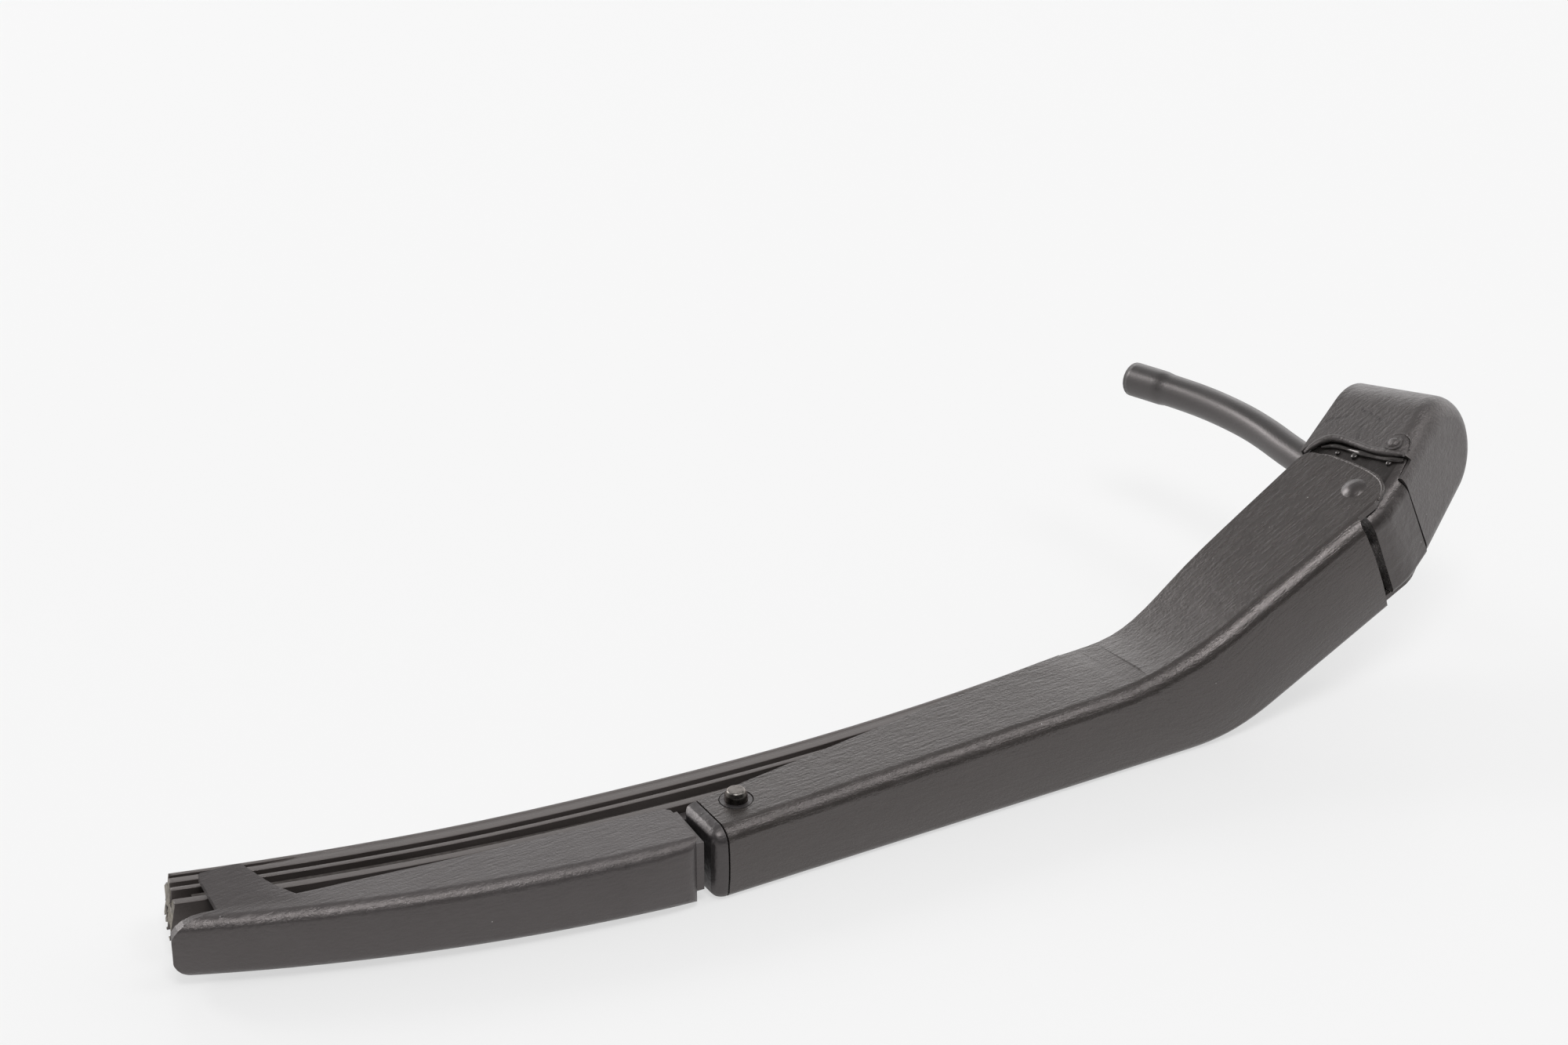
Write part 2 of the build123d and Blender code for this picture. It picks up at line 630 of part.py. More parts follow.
# Blade carrier: a hollow tapering bow outside the arm, a lug on the pin and a slim bow inside the arm
bow_start = degrees(asin(nose_reach / bow_radius))
bow_stop = degrees(asin(bow_end / bow_radius))
nose_base = nose_reach - nose_length
bow_back_end = bow_y(bow_end) + bow_depth_end
bow_corners = (
    (-bow_end, bow_half),
    (-nose_reach, nose_half),
    (-nose_reach, -nose_drop),
    (-bow_end, -bow_drop),
)
with BuildPart() as blade_carrier:
    with BuildSketch(blade_plane.offset(-tip_width)):
        with BuildLine():
            front = CenterArc(bow_centre, bow_radius, -90 - bow_start, bow_start - bow_stop)
            back = ThreePointArc(
                (-bow_end, bow_back_end),
                (-nose_reach / 2, bow_y(nose_reach / 2) + bow_depth_middle),
                (-nose_base, bow_y(nose_base) + bow_depth_nose),
            )
            Line(front @ 1, back @ 0)
            Polyline(back @ 1, (nose_lean - nose_reach, bow_y(nose_reach) + nose_thickness), front @ 0)
        make_face()
    extrude(amount=2 * tip_width)
    with BuildSketch(side_plane):
        with BuildLine():
            Polyline(*bow_corners, close=True)
        make_face()
    extrude(amount=2 * through, both=True, mode=Mode.INTERSECT)
    front_face = blade_carrier.faces().sort_by(Axis((0, 0, 0), blade_depth_dir))[0]
    fillet(front_face.edges().sort_by(Axis.X)[1:], bow_edge_radius)
    with BuildSketch(side_plane) as nose_side:
        with BuildLine():
            Polyline(*bow_corners, close=True)
        make_face()
        fillet(nose_side.vertices().sort_by(Axis.X)[:2], nose_radius)
    extrude(amount=2 * through, both=True, mode=Mode.INTERSECT)
    add(bow_pocket.part, mode=Mode.SUBTRACT)
    with BuildSketch(blade_plane.offset(neck_inset - bow_half)):
        with Locations((-bow_end - bow_wall / 2, bow_y(bow_end) + neck_inset)):
            Rectangle(
                neck_length + bow_wall / 2,
                bow_back_end - bow_y(bow_end) - neck_inset,
                align=(Align.MIN, Align.MIN),
            )
    extrude(amount=2 * (bow_half - neck_inset))
    with BuildSketch(blade_plane.offset(-spine_half)):
        with Locations((-bow_end - bow_wall, spine_front)):
            Rectangle(bow_end + bow_wall + spine_end, spine_back - spine_front, align=(Align.MIN, Align.MIN))
        with Locations((-bow_end - bow_wall, bow_back_end - neck_inset)):
            Rectangle(
                neck_length + bow_wall,
                spine_back - bow_back_end + neck_inset,
                align=(Align.MIN, Align.MIN),
            )
    extrude(amount=2 * spine_half)
    with BuildSketch(blade_plane.offset(-lug_half)):
        Circle(lug_radius)
        Rectangle(2 * lug_radius, spine_front, align=(Align.CENTER, Align.MIN))
    extrude(amount=2 * lug_half)
    with BuildSketch(blade_plane.offset(-inner_bow_half)):
        with BuildLine():
            Polyline(
                (spine_end - inner_wall, inner_front_start),
                (inner_bow_end, inner_front_end),
                (inner_bow_end, inner_back_end),
            )
            ThreePointArc(
                (inner_bow_end, inner_back_end),
                (inner_bow_end / 2, (inner_back_end + spine_back) / 2 - inner_wall),
                (spine_end - inner_wall, spine_back),
            )
            Line((spine_end - inner_wall, spine_back), (spine_end - inner_wall, inner_front_start))
        make_face()
    extrude(amount=2 * inner_bow_half)
    with BuildSketch(blade_plane.offset(inner_wall - inner_bow_half)):
        with BuildLine():
            Polyline(
                (spine_end, inner_front_start + inner_wall),
                (inner_bow_end - inner_wall, inner_front_end + inner_wall),
                (inner_bow_end - inner_wall, through),
                (spine_end, through),
                close=True,
            )
        make_face()
    extrude(amount=2 * (inner_bow_half - inner_wall), mode=Mode.SUBTRACT)
    claw_far = nose_reach - claw_set
    claw_near = claw_far - claw_length
    claw_tip = rubber_y(claw_far) + claw_reach
    claw_base = claw_far - claw_foot
    inner_near = inner_claw_centre - claw_length / 2
    inner_far = inner_claw_centre + claw_length / 2
    for face in (-1, 1):
        with BuildSketch(blade_plane.offset(face * claw_inner_half)):
            with BuildLine():
                FilletPolyline(
                    (-claw_far - claw_lean, bow_y(claw_far) + claw_root),
                    (-claw_far, claw_tip),
                    (-claw_near, claw_tip),
                    (-claw_base, bow_y(claw_base) + bow_depth_nose + claw_root),
                    radius=(0, claw_radius / 2, claw_radius, 0),
                    close=True,
                )
            make_face()
        extrude(amount=face * (nose_half - claw_inner_half))
        inner_wing = ring_sector(
            blade_plane.offset(face * claw_inner_half), -claw_reach, claw_reach, inner_near, inner_far
        )
        extrude(inner_wing, amount=face * (inner_claw_half - claw_inner_half))
        hook_base = blade_plane.offset(face * claw_hook_half)
        hook = ring_sector(hook_base, claw_hook_start, claw_hook_end, -claw_far, -claw_near)
        extrude(hook, amount=face * (nose_half - claw_hook_half))
        inner_hook = ring_sector(hook_base, claw_hook_start, claw_hook_end, inner_near, inner_far)
        extrude(inner_hook, amount=face * (inner_claw_half - claw_hook_half))
    with BuildSketch(blade_plane):
        Circle(pin_radius + running_clearance)
    extrude(amount=tip_width, both=True, mode=Mode.SUBTRACT)
blade_carrier.part.label = "blade_carrier"
export_step(blade_carrier.part, "parts/blade_carrier.step")

# Wiper rubber: one ribbed profile turned along the blade's gentle curve
curve_axis = Axis(blade_pivot + blade_depth_dir * (rubber_front + rubber_radius), (0, 0, 1))
left_angle = degrees(asin(rubber_left / rubber_radius))
right_angle = degrees(asin(rubber_right / rubber_radius))
left_dir = blade_depth_dir.rotate(Axis.Z, -left_angle)
profile_plane = Plane(
    origin=curve_axis.position - left_dir * rubber_radius,
    x_dir=left_dir,
    z_dir=left_dir.cross(Vector(0, 0, 1)),
)
with BuildPart() as wiper_rubber:
    with BuildSketch(profile_plane):
        with BuildLine():
            Polyline(
                (0, 0),
                (0, rail_half),
                (rail_depth, rail_half),
                (rail_depth, neck_half),
                (second_rib[0], neck_half),
                (second_rib[0], rib_half),
                (second_rib[1], rib_half),
                (second_rib[1], web_half),
                (third_rib[0], web_half),
                (third_rib[0], rib_half),
                (third_rib[1], rib_half),
                (third_rib[1], web_half),
                (fin[0], web_half),
                (fin[0], rib_half),
                (fin[1], rib_half),
                (fin[1], lip_root_half),
                (lip_depth, lip_tip_half),
                (lip_depth, 0),
                close=True,
            )
        make_face()
        mirror(about=Plane.XZ)
    revolve(axis=curve_axis, revolution_arc=left_angle + right_angle)
wiper_rubber.part.label = "wiper_rubber"
export_step(wiper_rubber.part, "parts/wiper_rubber.step")

# Steel strips: one in each groove behind the rubber's rail
for strip_name, strip_side in (("flexor_upper", 1), ("flexor_lower", -1)):
    with BuildPart() as flexor:
        strip = ring_sector(
            blade_plane.offset(strip_side * (neck_half + strip_gap)),
            rail_depth + strip_gap,
            rail_depth + strip_gap + strip_thickness,
            -rubber_left + rib_half,
            rubber_right - rib_half,
        )
        extrude(strip, amount=strip_side * strip_width)
    flexor.part.label = strip_name
    export_step(flexor.part, f"parts/{strip_name}.step")

# Spring anchor: a welded foot on the web with an upright tab and a hole for the spring's bent end
pin_along, pin_across = (-spring_pin_lever * turn_sin, spring_pin_lever * turn_cos)
hook_radius = spring_pin_radius + hook_clearance + wire / 2
hook_depth = pin_across - hook_radius
web_inside = sheet - hinge_depth
tab_level = spring_level + wire
with BuildPart() as spring_anchor:
    with BuildSketch(limb_plane.offset(tab_level)):
        with BuildLine():
            Polyline(
                (anchor_reach - anchor_foot / 2, web_inside),
                (anchor_reach + anchor_foot / 2, web_inside),
                (anchor_reach + wire / 2 + anchor_lip, hook_depth),
                (anchor_reach - wire / 2 - anchor_lip, hook_depth),
                close=True,
            )
        make_face()
        with Locations((anchor_reach, hook_depth)):
            Circle(wire / 2 + anchor_lip)
            Circle(wire / 2 + hook_clearance, mode=Mode.SUBTRACT)
    extrude(amount=anchor_thickness)
    with BuildSketch(limb_plane.offset(tab_level)):
        with Locations((anchor_reach, web_inside)):
            Rectangle(anchor_foot, anchor_thickness, align=(Align.CENTER, Align.MIN))
    extrude(amount=anchor_foot)
spring_anchor.part.label = "spring_anchor"
export_step(spring_anchor.part, "parts/spring_anchor.step")

# Tension spring: a wound body, a bent end in the anchor's hole and a hook round the spring pin
coil_end = coil_start + coil_length
coil_base = limb_plane.from_local_coords((coil_start, hook_depth + coil_radius, spring_level))
coil_plane = Plane(origin=coil_base, x_dir=depth_dir * -1, z_dir=limb_dir)
coil = coil_plane * Helix(coil_length / coil_turns, coil_length, coil_radius)
hook_plane = limb_plane.offset(spring_level)
tail_origin = hook_plane.from_local_coords((0, hook_depth, 0))
tail_plane = Plane(origin=tail_origin, x_dir=limb_dir, z_dir=depth_dir * -1)
with BuildPart() as tension_spring:
    with BuildSketch(Plane(origin=coil @ 0, z_dir=coil % 0)):
        RegularPolygon(wire / 2, wire_sides)
    sweep(path=coil, is_frenet=True)
    with BuildLine(hook_plane) as pin_hook:
        Line((coil_end - wire / 2, hook_depth), (pin_along, hook_depth))
        CenterArc((pin_along, pin_across), hook_radius, -90, hook_sweep)
    with BuildSketch(Plane(origin=pin_hook.line @ 0, z_dir=pin_hook.line % 0)):
        RegularPolygon(wire / 2, wire_sides)
    sweep(path=pin_hook.line)
    with BuildLine(tail_plane):
        tail = FilletPolyline(
            (coil_start + wire / 2, 0), (anchor_reach, 0), (anchor_reach, hook_tail), radius=hook_bend
        )
    with BuildSketch(Plane(origin=tail @ 0, z_dir=tail % 0)):
        RegularPolygon(wire / 2, wire_sides)
    sweep(path=tail)
tension_spring.part.label = "tension_spring"
export_step(tension_spring.part, "parts/tension_spring.step")

# Washer line inside the arm: jet, pipe and an elbow whose nipple takes the hose
line_plane = limb_plane.offset(line_level)
cheek_inside = limb_width / 2 - sheet
jet_centre = line_plane.from_local_coords((jet_reach, line_depth, 0))
nozzle_plane = Plane(origin=jet_centre, x_dir=limb_dir, z_dir=depth_dir)
with BuildPart() as spray_jet:
    with BuildSketch(limb_plane.offset(line_level - jet_width / 2)):
        with Locations((jet_reach, line_depth)):
            Rectangle(jet_length, jet_height)
    extrude(amount=cheek_inside - line_level + jet_width / 2)
    with BuildSketch(nozzle_plane):
        Circle(jet_nozzle_radius)
    extrude(amount=jet_height / 2 + jet_nozzle_length)
    with BuildSketch(nozzle_plane):
        Circle(jet_bore_radius)
    extrude(amount=jet_height / 2 + jet_nozzle_length, mode=Mode.SUBTRACT)
spray_jet.part.label = "spray_jet"
export_step(spray_jet.part, "parts/spray_jet.step")

pipe_start = jet_reach + jet_length / 2
pipe_end = line_plane.from_local_coords((pipe_start, line_depth, 0))
with BuildPart() as washer_pipe:
    with BuildSketch(Plane(origin=pipe_end, x_dir=limb_up, z_dir=limb_dir)):
        Circle(pipe_radius)
    extrude(amount=elbow_reach - elbow_radius - pipe_start)
washer_pipe.part.label = "washer_pipe"
export_step(washer_pipe.part, "parts/washer_pipe.step")

elbow_centre = line_plane.from_local_coords((elbow_reach, line_depth, 0))
with BuildPart() as hose_elbow:
    with BuildSketch(Plane(origin=elbow_centre - limb_dir * elbow_radius, x_dir=limb_up, z_dir=limb_dir)):
        Circle(socket_radius)
    extrude(amount=elbow_radius)
    with BuildSketch(Plane(origin=elbow_centre - depth_dir * elbow_radius, x_dir=limb_dir, z_dir=depth_dir)):
        Circle(elbow_radius)
    extrude(amount=hose_start - line_depth + elbow_radius)
    with BuildSketch(Plane(origin=elbow_centre, x_dir=limb_dir, z_dir=depth_dir)):
        Circle(hose_bore / 2 - running_clearance)
    extrude(amount=hose_start - line_depth + nipple_length)
hose_elbow.part.label = "hose_elbow"
export_step(hose_elbow.part, "parts/hose_elbow.step")

# Washer hose: straight runs joined by arcs as large as the runs allow
hose_points = [line_plane.from_local_coords((along, depth, 0)) for along, depth in hose_route]
hose_radii = []
for before, corner, after in zip(hose_points, hose_points[1:], hose_points[2:]):
    half_turn = radians((corner - before).get_angle(after - corner)) / 2
    shorter = min((corner - before).length, (after - corner).length)
    hose_radii.append(hose_bend_share * shorter / tan(half_turn))
with BuildPart() as washer_hose:
    with BuildLine():
        hose_line = FilletPolyline(hose_points, radius=hose_radii)
    with BuildSketch(Plane(origin=hose_line @ 0, z_dir=hose_line % 0)):
        Circle(hose_diameter / 2)
        Circle(hose_bore / 2, mode=Mode.SUBTRACT)
    sweep(path=hose_line)
washer_hose.part.label = "washer_hose"
export_step(washer_hose.part, "parts/washer_hose.step")
hose_section = pi * (hose_diameter**2 - hose_bore**2) / 4
print("hose length", round(hose_line.length, 1), "bends", [round(radius) for radius in hose_radii])
print("hose volume", round(washer_hose.part.volume), "of", round(hose_section * hose_line.length))
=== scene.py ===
"""A repainted headlamp wiper arm with its blade and washer hose, lying on a white studio table."""
import json
from math import cos, exp, pi, radians, sin, sqrt, tan
from random import Random

import bmesh
import bpy
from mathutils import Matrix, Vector


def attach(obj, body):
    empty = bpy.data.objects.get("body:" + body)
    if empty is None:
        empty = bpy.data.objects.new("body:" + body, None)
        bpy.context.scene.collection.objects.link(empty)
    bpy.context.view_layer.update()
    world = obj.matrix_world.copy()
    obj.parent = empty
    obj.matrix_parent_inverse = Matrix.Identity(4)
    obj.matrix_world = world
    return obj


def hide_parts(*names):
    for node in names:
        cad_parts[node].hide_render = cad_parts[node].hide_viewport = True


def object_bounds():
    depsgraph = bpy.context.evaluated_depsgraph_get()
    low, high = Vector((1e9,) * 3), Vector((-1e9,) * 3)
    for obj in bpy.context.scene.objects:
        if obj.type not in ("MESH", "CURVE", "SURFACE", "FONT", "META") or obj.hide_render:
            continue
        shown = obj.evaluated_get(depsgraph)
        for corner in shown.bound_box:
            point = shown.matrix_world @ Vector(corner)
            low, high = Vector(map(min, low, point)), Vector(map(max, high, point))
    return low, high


MM = 0.001

# Directions of the arm, of its hinge limb, of the head that is turned about the hinge, and of the blade
LIMB_ANGLE = radians(27.5)
HEAD_TURN = radians(20)
BLADE_TURN = radians(3.5)
LIMB_DIR = Vector((cos(LIMB_ANGLE), 0, sin(LIMB_ANGLE)))
LIMB_UP = Vector((-sin(LIMB_ANGLE), 0, cos(LIMB_ANGLE)))
ARM_DIR = Vector((1, 0, 0))
DEPTH_DIR = Vector((0, 1, 0))
UP = Vector((0, 0, 1))
HEAD_DIR = LIMB_DIR * cos(HEAD_TURN) + DEPTH_DIR * sin(HEAD_TURN)
SPINDLE_DIR = DEPTH_DIR * cos(HEAD_TURN) - LIMB_DIR * sin(HEAD_TURN)
BLADE_DIR = Vector((cos(BLADE_TURN), -sin(BLADE_TURN), 0))
BLADE_DEPTH = Vector((sin(BLADE_TURN), cos(BLADE_TURN), 0))

# Where the arm's tip lies from the blade pin, in millimetres
TIP_FROM_PIN = Vector((-6.8, -8.9, -8.7))

# Camera, in the row frame
CAMERA_PLACE = Vector((-465.6, -551.3, 349.8)) * MM
CAMERA_FORWARD = Vector((0.443, 0.768, -0.4617))
CAMERA_LENS = 81.2
CAMERA_SENSOR = 36.0
CAMERA_NEAR = 0.01

# Washer hose: its route on the hinge limb, along it and towards the glass, in millimetres
HOSE_ROUTE = ((2.8, 12.6), (2.8, 27.5), (3.8, 43.0), (2.7, 57.5), (0.3, 71.0), (-2.6, 83.5))
HOSE_LEVEL = 4.45
HOSE_DIAMETER = 7.5 * MM
HOSE_WALL = 1.55 * MM
HOSE_SWELL = 0.07
HOSE_SWELL_LENGTH = 9.0 * MM
HOSE_SWELL_FADE = 3.0 * MM
HOSE_STEPS = 16
HOSE_ROUNDING = 10
HOSE_END_POINTS = 4

# Softened edges of the painted, moulded and rubber pieces
PAINT_EDGE = 0.35 * MM
MOULD_EDGE = 0.3 * MM
NOSE_EDGE = 1.7 * MM
BOW_END_EDGE = 1.4 * MM
PIN_EDGE = 0.25 * MM
RUBBER_EDGE = 0.18 * MM
SHARP_ANGLE = radians(32)
FLAT_ANGLE = radians(0.4)
SHADE_ANGLE = radians(50)
MERGE_GAP = 0.001 * MM

# Thick paint along the cover's seam, by places along the head, along the spindle and across it,
# with a share of the bead's full thickness
SEAM_LIP = (
    (7.6, 17.6, 12.0, 0.5),
    (9.6, 16.7, 12.1, 0.8),
    (12.4, 14.3, 12.1, 1.1),
    (13.2, 11.4, 12.0, 1.2),
    (12.6, 7.0, 12.05, 1.0),
    (11.7, 1.8, 12.1, 1.0),
    (11.7, -2.3, 12.15, 1.1),
    (12.0, -5.9, 12.1, 0.7),
)
SEAM_POOL = (
    (10.6, 14.9, 11.2, 0.6),
    (11.4, 11.9, 11.3, 0.9),
    (11.2, 8.0, 11.25, 0.7),
    (10.7, 4.6, 11.3, 1.1),
    (10.5, 0.6, 11.2, 0.9),
    (10.6, -3.6, 11.3, 1.1),
    (11.2, -6.0, 11.2, 0.6),
)
SEAM_LIP_RADIUS = 0.8 * MM
SEAM_POOL_RADIUS = 0.7 * MM
NUB_RIDGE = (
    (15.4, 1.2, 12.2, 0.5),
    (16.7, -1.2, 12.4, 1.0),
    (17.2, -3.6, 12.35, 1.0),
    (16.0, -5.6, 12.2, 0.8),
    (13.6, -6.4, 12.0, 0.5),
)
NUB_RIDGE_RADIUS = 0.3 * MM
COVER_NUB = (14.0, -2.4, 12.9, 1.4)
DRIPS = ((9.8, 6.0, 11.2, 0.85), (9.9, 10.4, 11.2, 0.6), (9.6, -3.0, 11.2, 0.7))
DROP_FLATTEN = 0.6
DROP_STEPS = (24, 12)
RUN_STEPS = 12
RUN_ROUNDING = 4

# Thick paint along the upper ear's end, by places on the hinge limb
EAR_BEAD = (
    (0.6, 16.8, 12.3, 0.4),
    (3.0, 13.8, 12.35, 0.8),
    (4.2, 9.0, 12.35, 0.9),
    (4.95, 4.0, 12.35, 1.0),
    (5.2, -0.8, 12.35, 1.1),
    (4.6, -3.9, 12.35, 1.1),
    (3.1, -6.1, 12.3, 1.0),
    (0.8, -7.3, 12.2, 0.5),
)
EAR_BEAD_RADIUS = 0.45 * MM

# Bulge of the pressed web and of the bow, by their outlines in millimetres
STRAIGHT_LENGTH = 124.6
LIMB_WIDTH = 25.2
TIP_WIDTH = 16.2
WIDTH_SLOPE = 0.0316
LOW_KNEE_ROUND = 2.7
HIGH_KNEE_ROUND = 4.4
BULGE_SHARE = 0.055
BULGE_POWER = 2.4
BULGE_DEPTH = 3.0
ARM_SLICES = range(-2, 190, 5)
WEB_SLICES = range(2, 78, 3)
WEB_FRONT = 4.0

# The knee's bend gets tighter towards the arm's open back
KNEE_PLACE = 110.0
KNEE_SPREAD = 13.0
KNEE_DROP = 2.8
KNEE_FRONT = 4.0
TIP_DEPTH = 12.6
DEPTH_SLOPE = 0.0976
CHEEK_SHARE = 0.8

# The ears' ends are bowed, by places along the hinge limb and towards the glass
EAR_LEVEL = 10.5
EAR_RIM = 0.7 * MM
EAR_RIM_START = -1.0
EAR_RIM_TOLERANCE = 0.1
EAR_RIM_STEPS = 3
PIN_HOLE_CLEARANCE = 0.4
EAR_BOW = 1.3
EAR_BOW_POWER = 0.6
EAR_BACK = 16.0
EAR_FRONT = -8.0
EAR_START = 2.0
EAR_FADE = 1.2
EAR_SLICES = range(-1, 16, 2)

# The web's end stands back from the head's neck, whose upper face gets painted shade: a darker, less
# mirroring copy of the head's paint
WEB_END_START = -9.5
WEB_END_RUN = 2.5
WEB_END_STOP = -4.5
WEB_END_DEPTH = -5.0
WEB_END_BACK = 0.9
WEB_END_FADE = 1.5
NECK_LEVELS = (9.8, 11.4)
NECK_FACING = 0.98

# The plug's end is domed, and its seam at the arm's tip is open
PLUG_SLICES = (-0.6, -1.2)
PLUG_START = 0.05
PLUG_OVERHANG = 3.2
PLUG_DOME = 1.3
PLUG_DOME_POWER = 5
PLUG_SEAM = 0.25

# Blade bow: its outer arc, its heights at the arm and at the nose, and its rounded nose, in millimetres
BOW_RADIUS = 333.0
BOW_FRONT = 10.3
BOW_END = 12.6
BOW_SWELL_RUN = 6.0
BOW_END_SPAN = (-14.6, -12.3)
BOW_END_FRONT = 2.6
BOW_END_TOLERANCE = 0.3
BOW_CORNER = 3.2
BOW_BACK = 14.3
BOW_CORNER_LEVEL = 5.6
BOW_CORNER_CUTS = (0.4, 0.9, 1.5, 2.2, 3.2)
BOW_CORNER_LIMIT = 1.05
BOW_HALF = 7.2
BOW_DROP = 7.9
NOSE_REACH = 114.8
NOSE_HALF = 6.2
NOSE_DROP = 6.9
NOSE_ROUND = (7.0, 4.6)
NOSE_CUTS = (12, 27, 42, 57, 72, 84)
NOSE_SPAN = 9.0
NOSE_FRONT = 0.6
NOSE_STEPS = 4
BOW_SLICES = range(-112, -13, 4)
BOW_LEVELS = (-6, -4.5, -3, -1.5, 0, 1.5, 3, 4.5)

# The claw rises from a soft valley behind the bow's front edge
CLAW_VALLEY = (-98.0, 6.8)
CLAW_SLOPE = CLAW_VALLEY[0] / sqrt(BOW_RADIUS**2 - CLAW_VALLEY[0] ** 2)
CLAW_DIR = (BLADE_DEPTH - BLADE_DIR * CLAW_SLOPE).normalized()
CLAW_TILT = tan(radians(9))
CLAW_SOFT = 3.0
CLAW_SPAN = (-98.0, -80.0)
CLAW_CUTS = (0, 1, 2, 3.5, 6, 9, 12)
CLAW_SHIFT = (-0.43, -1.47)
CLAW_SAG = 2.2
CLAW_RIGHT = (-86.0, -96.0)
CLAW_LENGTH = 15.0
CLAW_SAG_SPAN = 5.0

# Rubber: the torn cut at its outer end, its lifted inner half and its closed groove
RUBBER_END_DIR = (-0.977, 0.211)
RUBBER_TEAR = 0.7 * MM
RUBBER_CUT_LEAN = 0.16
RUBBER_END_SPAN = 1.5 * MM
RUBBER_END_FACING = 0.5
RUBBER_SEED = 7
RUBBER_LIFT = 0.4 * MM
RUBBER_LIFT_SPAN = (-60.0, -10.0)
RUBBER_RADIUS = 530.0
RUBBER_FRONT = 7.4
RUBBER_GROOVE = (8.6, 10.1)
RUBBER_GROOVE_FLOOR = 3.2
RUBBER_BAND = 4.4
RUBBER_CLOSING = (-104.0, -84.0)
RUBBER_SLICES = range(-108, 90, 6)

# Finishes: where the arm's streaks turn with its knee, how strongly each mirrors, and their grain
KNEE_SPAN = (-14 * MM, 14 * MM)
KNEE_CENTRE = (118.0, 6.0, 14.0)
PAINT_SPECULAR = 1.0
# The neck's painted shade mirrors half as strongly as the paint around it
NECK_SHADE_SPECULAR = 0.5
MARK_DEPTH = 0.35
RUBBER_SPECULAR = 1.0
WARM_MIRROR = (1.0, 0.92, 0.91, 1)
STEEL_SPECULAR = 0.5
NOISE_MIDDLE = (0.5, 0.5, 0.5)
NOISE_SPREAD = (0.3, 0.7)
STREAK_STRETCH = (0.15, 1.0, 1.0)
PATCH_SCALE = 70.0
SPECK_RARITY = 0.93
SCRATCH_WOBBLE = 1.2 * MM
SCRATCH_WOBBLE_SCALE = 500.0
COAT_HEIGHT = 0.2 * MM
DENT_HEIGHT = 0.8 * MM
BLOOM_SPREAD = (0.35, 0.7)
RUBBER_GRAIN_SCALE = 2200.0
RUBBER_GRAIN_HEIGHT = 0.12 * MM
RUBBER_GRAIN_STRENGTH = 0.3
TURNING_SCALE = 700.0
TURNING_STRETCH = (1, 1, 8)
SCUFF_SCALE = 900.0
PIN_TOP_SPAN = (0.35 * MM, 0.05 * MM)

# Sockets of the mix node, by their places for vectors and for colours
MIX_VECTOR = (4, 5)
MIX_VECTOR_OUT = 1
MIX_COLOUR = (6, 7)
MIX_COLOUR_OUT = 2

# Studio: softboxes by place, size and brightness, and a room brighter behind than in front
TABLE_SIZE = 8.0
TABLE_TONE = (0.72, 0.72, 0.72, 1)
TABLE_GLOW_TONE = (1.0, 1.0, 1.0, 1)
TABLE_GLOW = 0.61
TABLE_FADE = (-0.30, -0.15)
TABLE_FAR_GLOW = 0.1
TABLE_ROUGHNESS = 0.3
TABLE_SPECULAR = 0.35
STUDIO_AIM = Vector((-0.09, 0, 0))
SOFTBOXES = (
    ("key_softbox", Vector((-0.46, -0.69, 1.40)), (0.6, 0.5), 10.8),
    ("side_softbox", Vector((0.59, -0.45, 1.34)), (0.6, 0.5), 4.0),
    ("back_softbox", Vector((-1.05, 1.69, 1.00)), (0.6, 0.6), 9.0),
)
BACK_DIR = Vector((0.5, 0.866, 0))
BACK_LEVEL = 1.8
FRONT_LEVEL = 0.12
FRONT_TO_BACK = (-0.35, 0.35)
ZENITH_LEVEL = 0.42
HORIZON_TO_ZENITH = (0.36, 0.62)

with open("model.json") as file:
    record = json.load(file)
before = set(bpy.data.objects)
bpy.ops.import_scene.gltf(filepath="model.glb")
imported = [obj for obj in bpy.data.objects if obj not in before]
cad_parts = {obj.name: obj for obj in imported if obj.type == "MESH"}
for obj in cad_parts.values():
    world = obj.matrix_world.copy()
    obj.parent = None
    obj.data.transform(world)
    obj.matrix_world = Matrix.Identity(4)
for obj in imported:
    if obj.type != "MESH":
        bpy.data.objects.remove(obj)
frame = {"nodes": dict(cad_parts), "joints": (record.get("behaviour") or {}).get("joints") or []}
cad_low, cad_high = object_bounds()
scene = bpy.context.scene
nodes = frame["nodes"]
joints = {joint["name"]: joint for joint in frame["joints"]}
hinge = Vector(joints["arm_hinge"]["pos_m"])
blade_pivot = Vector(joints["blade_pivot"]["pos_m"])
arm_tip = blade_pivot + TIP_FROM_PIN * MM
pin_top = max(vertex.co.z for vertex in nodes["blade_pin"].data.vertices)


def on_arm(along, depth, level):
    """A point given from the arm's tip, in millimetres along the arm, towards the glass and up."""
    return arm_tip + Vector((along, depth, level)) * MM


def on_limb(along, depth, level):
    """A point given along the hinge limb, towards the glass and across the limb."""
    return hinge + (LIMB_DIR * along + DEPTH_DIR * depth + LIMB_UP * level) * MM


def on_head(along, depth, level):
    """A point given along the head, along the spindle and across the head."""
    return hinge + (HEAD_DIR * along + SPINDLE_DIR * depth + LIMB_UP * level) * MM


def on_blade(along, depth, level):
    """A point given along the blade, towards the glass and up from the blade pin."""
    return blade_pivot + (BLADE_DIR * along + BLADE_DEPTH * depth + UP * level) * MM


# Small nodes
def connect(tree, value, socket):
    """Link a socket, or set a plain value."""
    if isinstance(value, bpy.types.NodeSocket):
        tree.links.new(value, socket)
    else:
        socket.default_value = value


def add_noise(tree, vector, scale, detail, roughness, output="Fac"):
    noise = tree.nodes.new("ShaderNodeTexNoise")
    noise.inputs["Detail"].default_value = detail
    noise.inputs["Roughness"].default_value = roughness
    connect(tree, vector, noise.inputs["Vector"])
    connect(tree, scale, noise.inputs["Scale"])
    return noise.outputs[output]


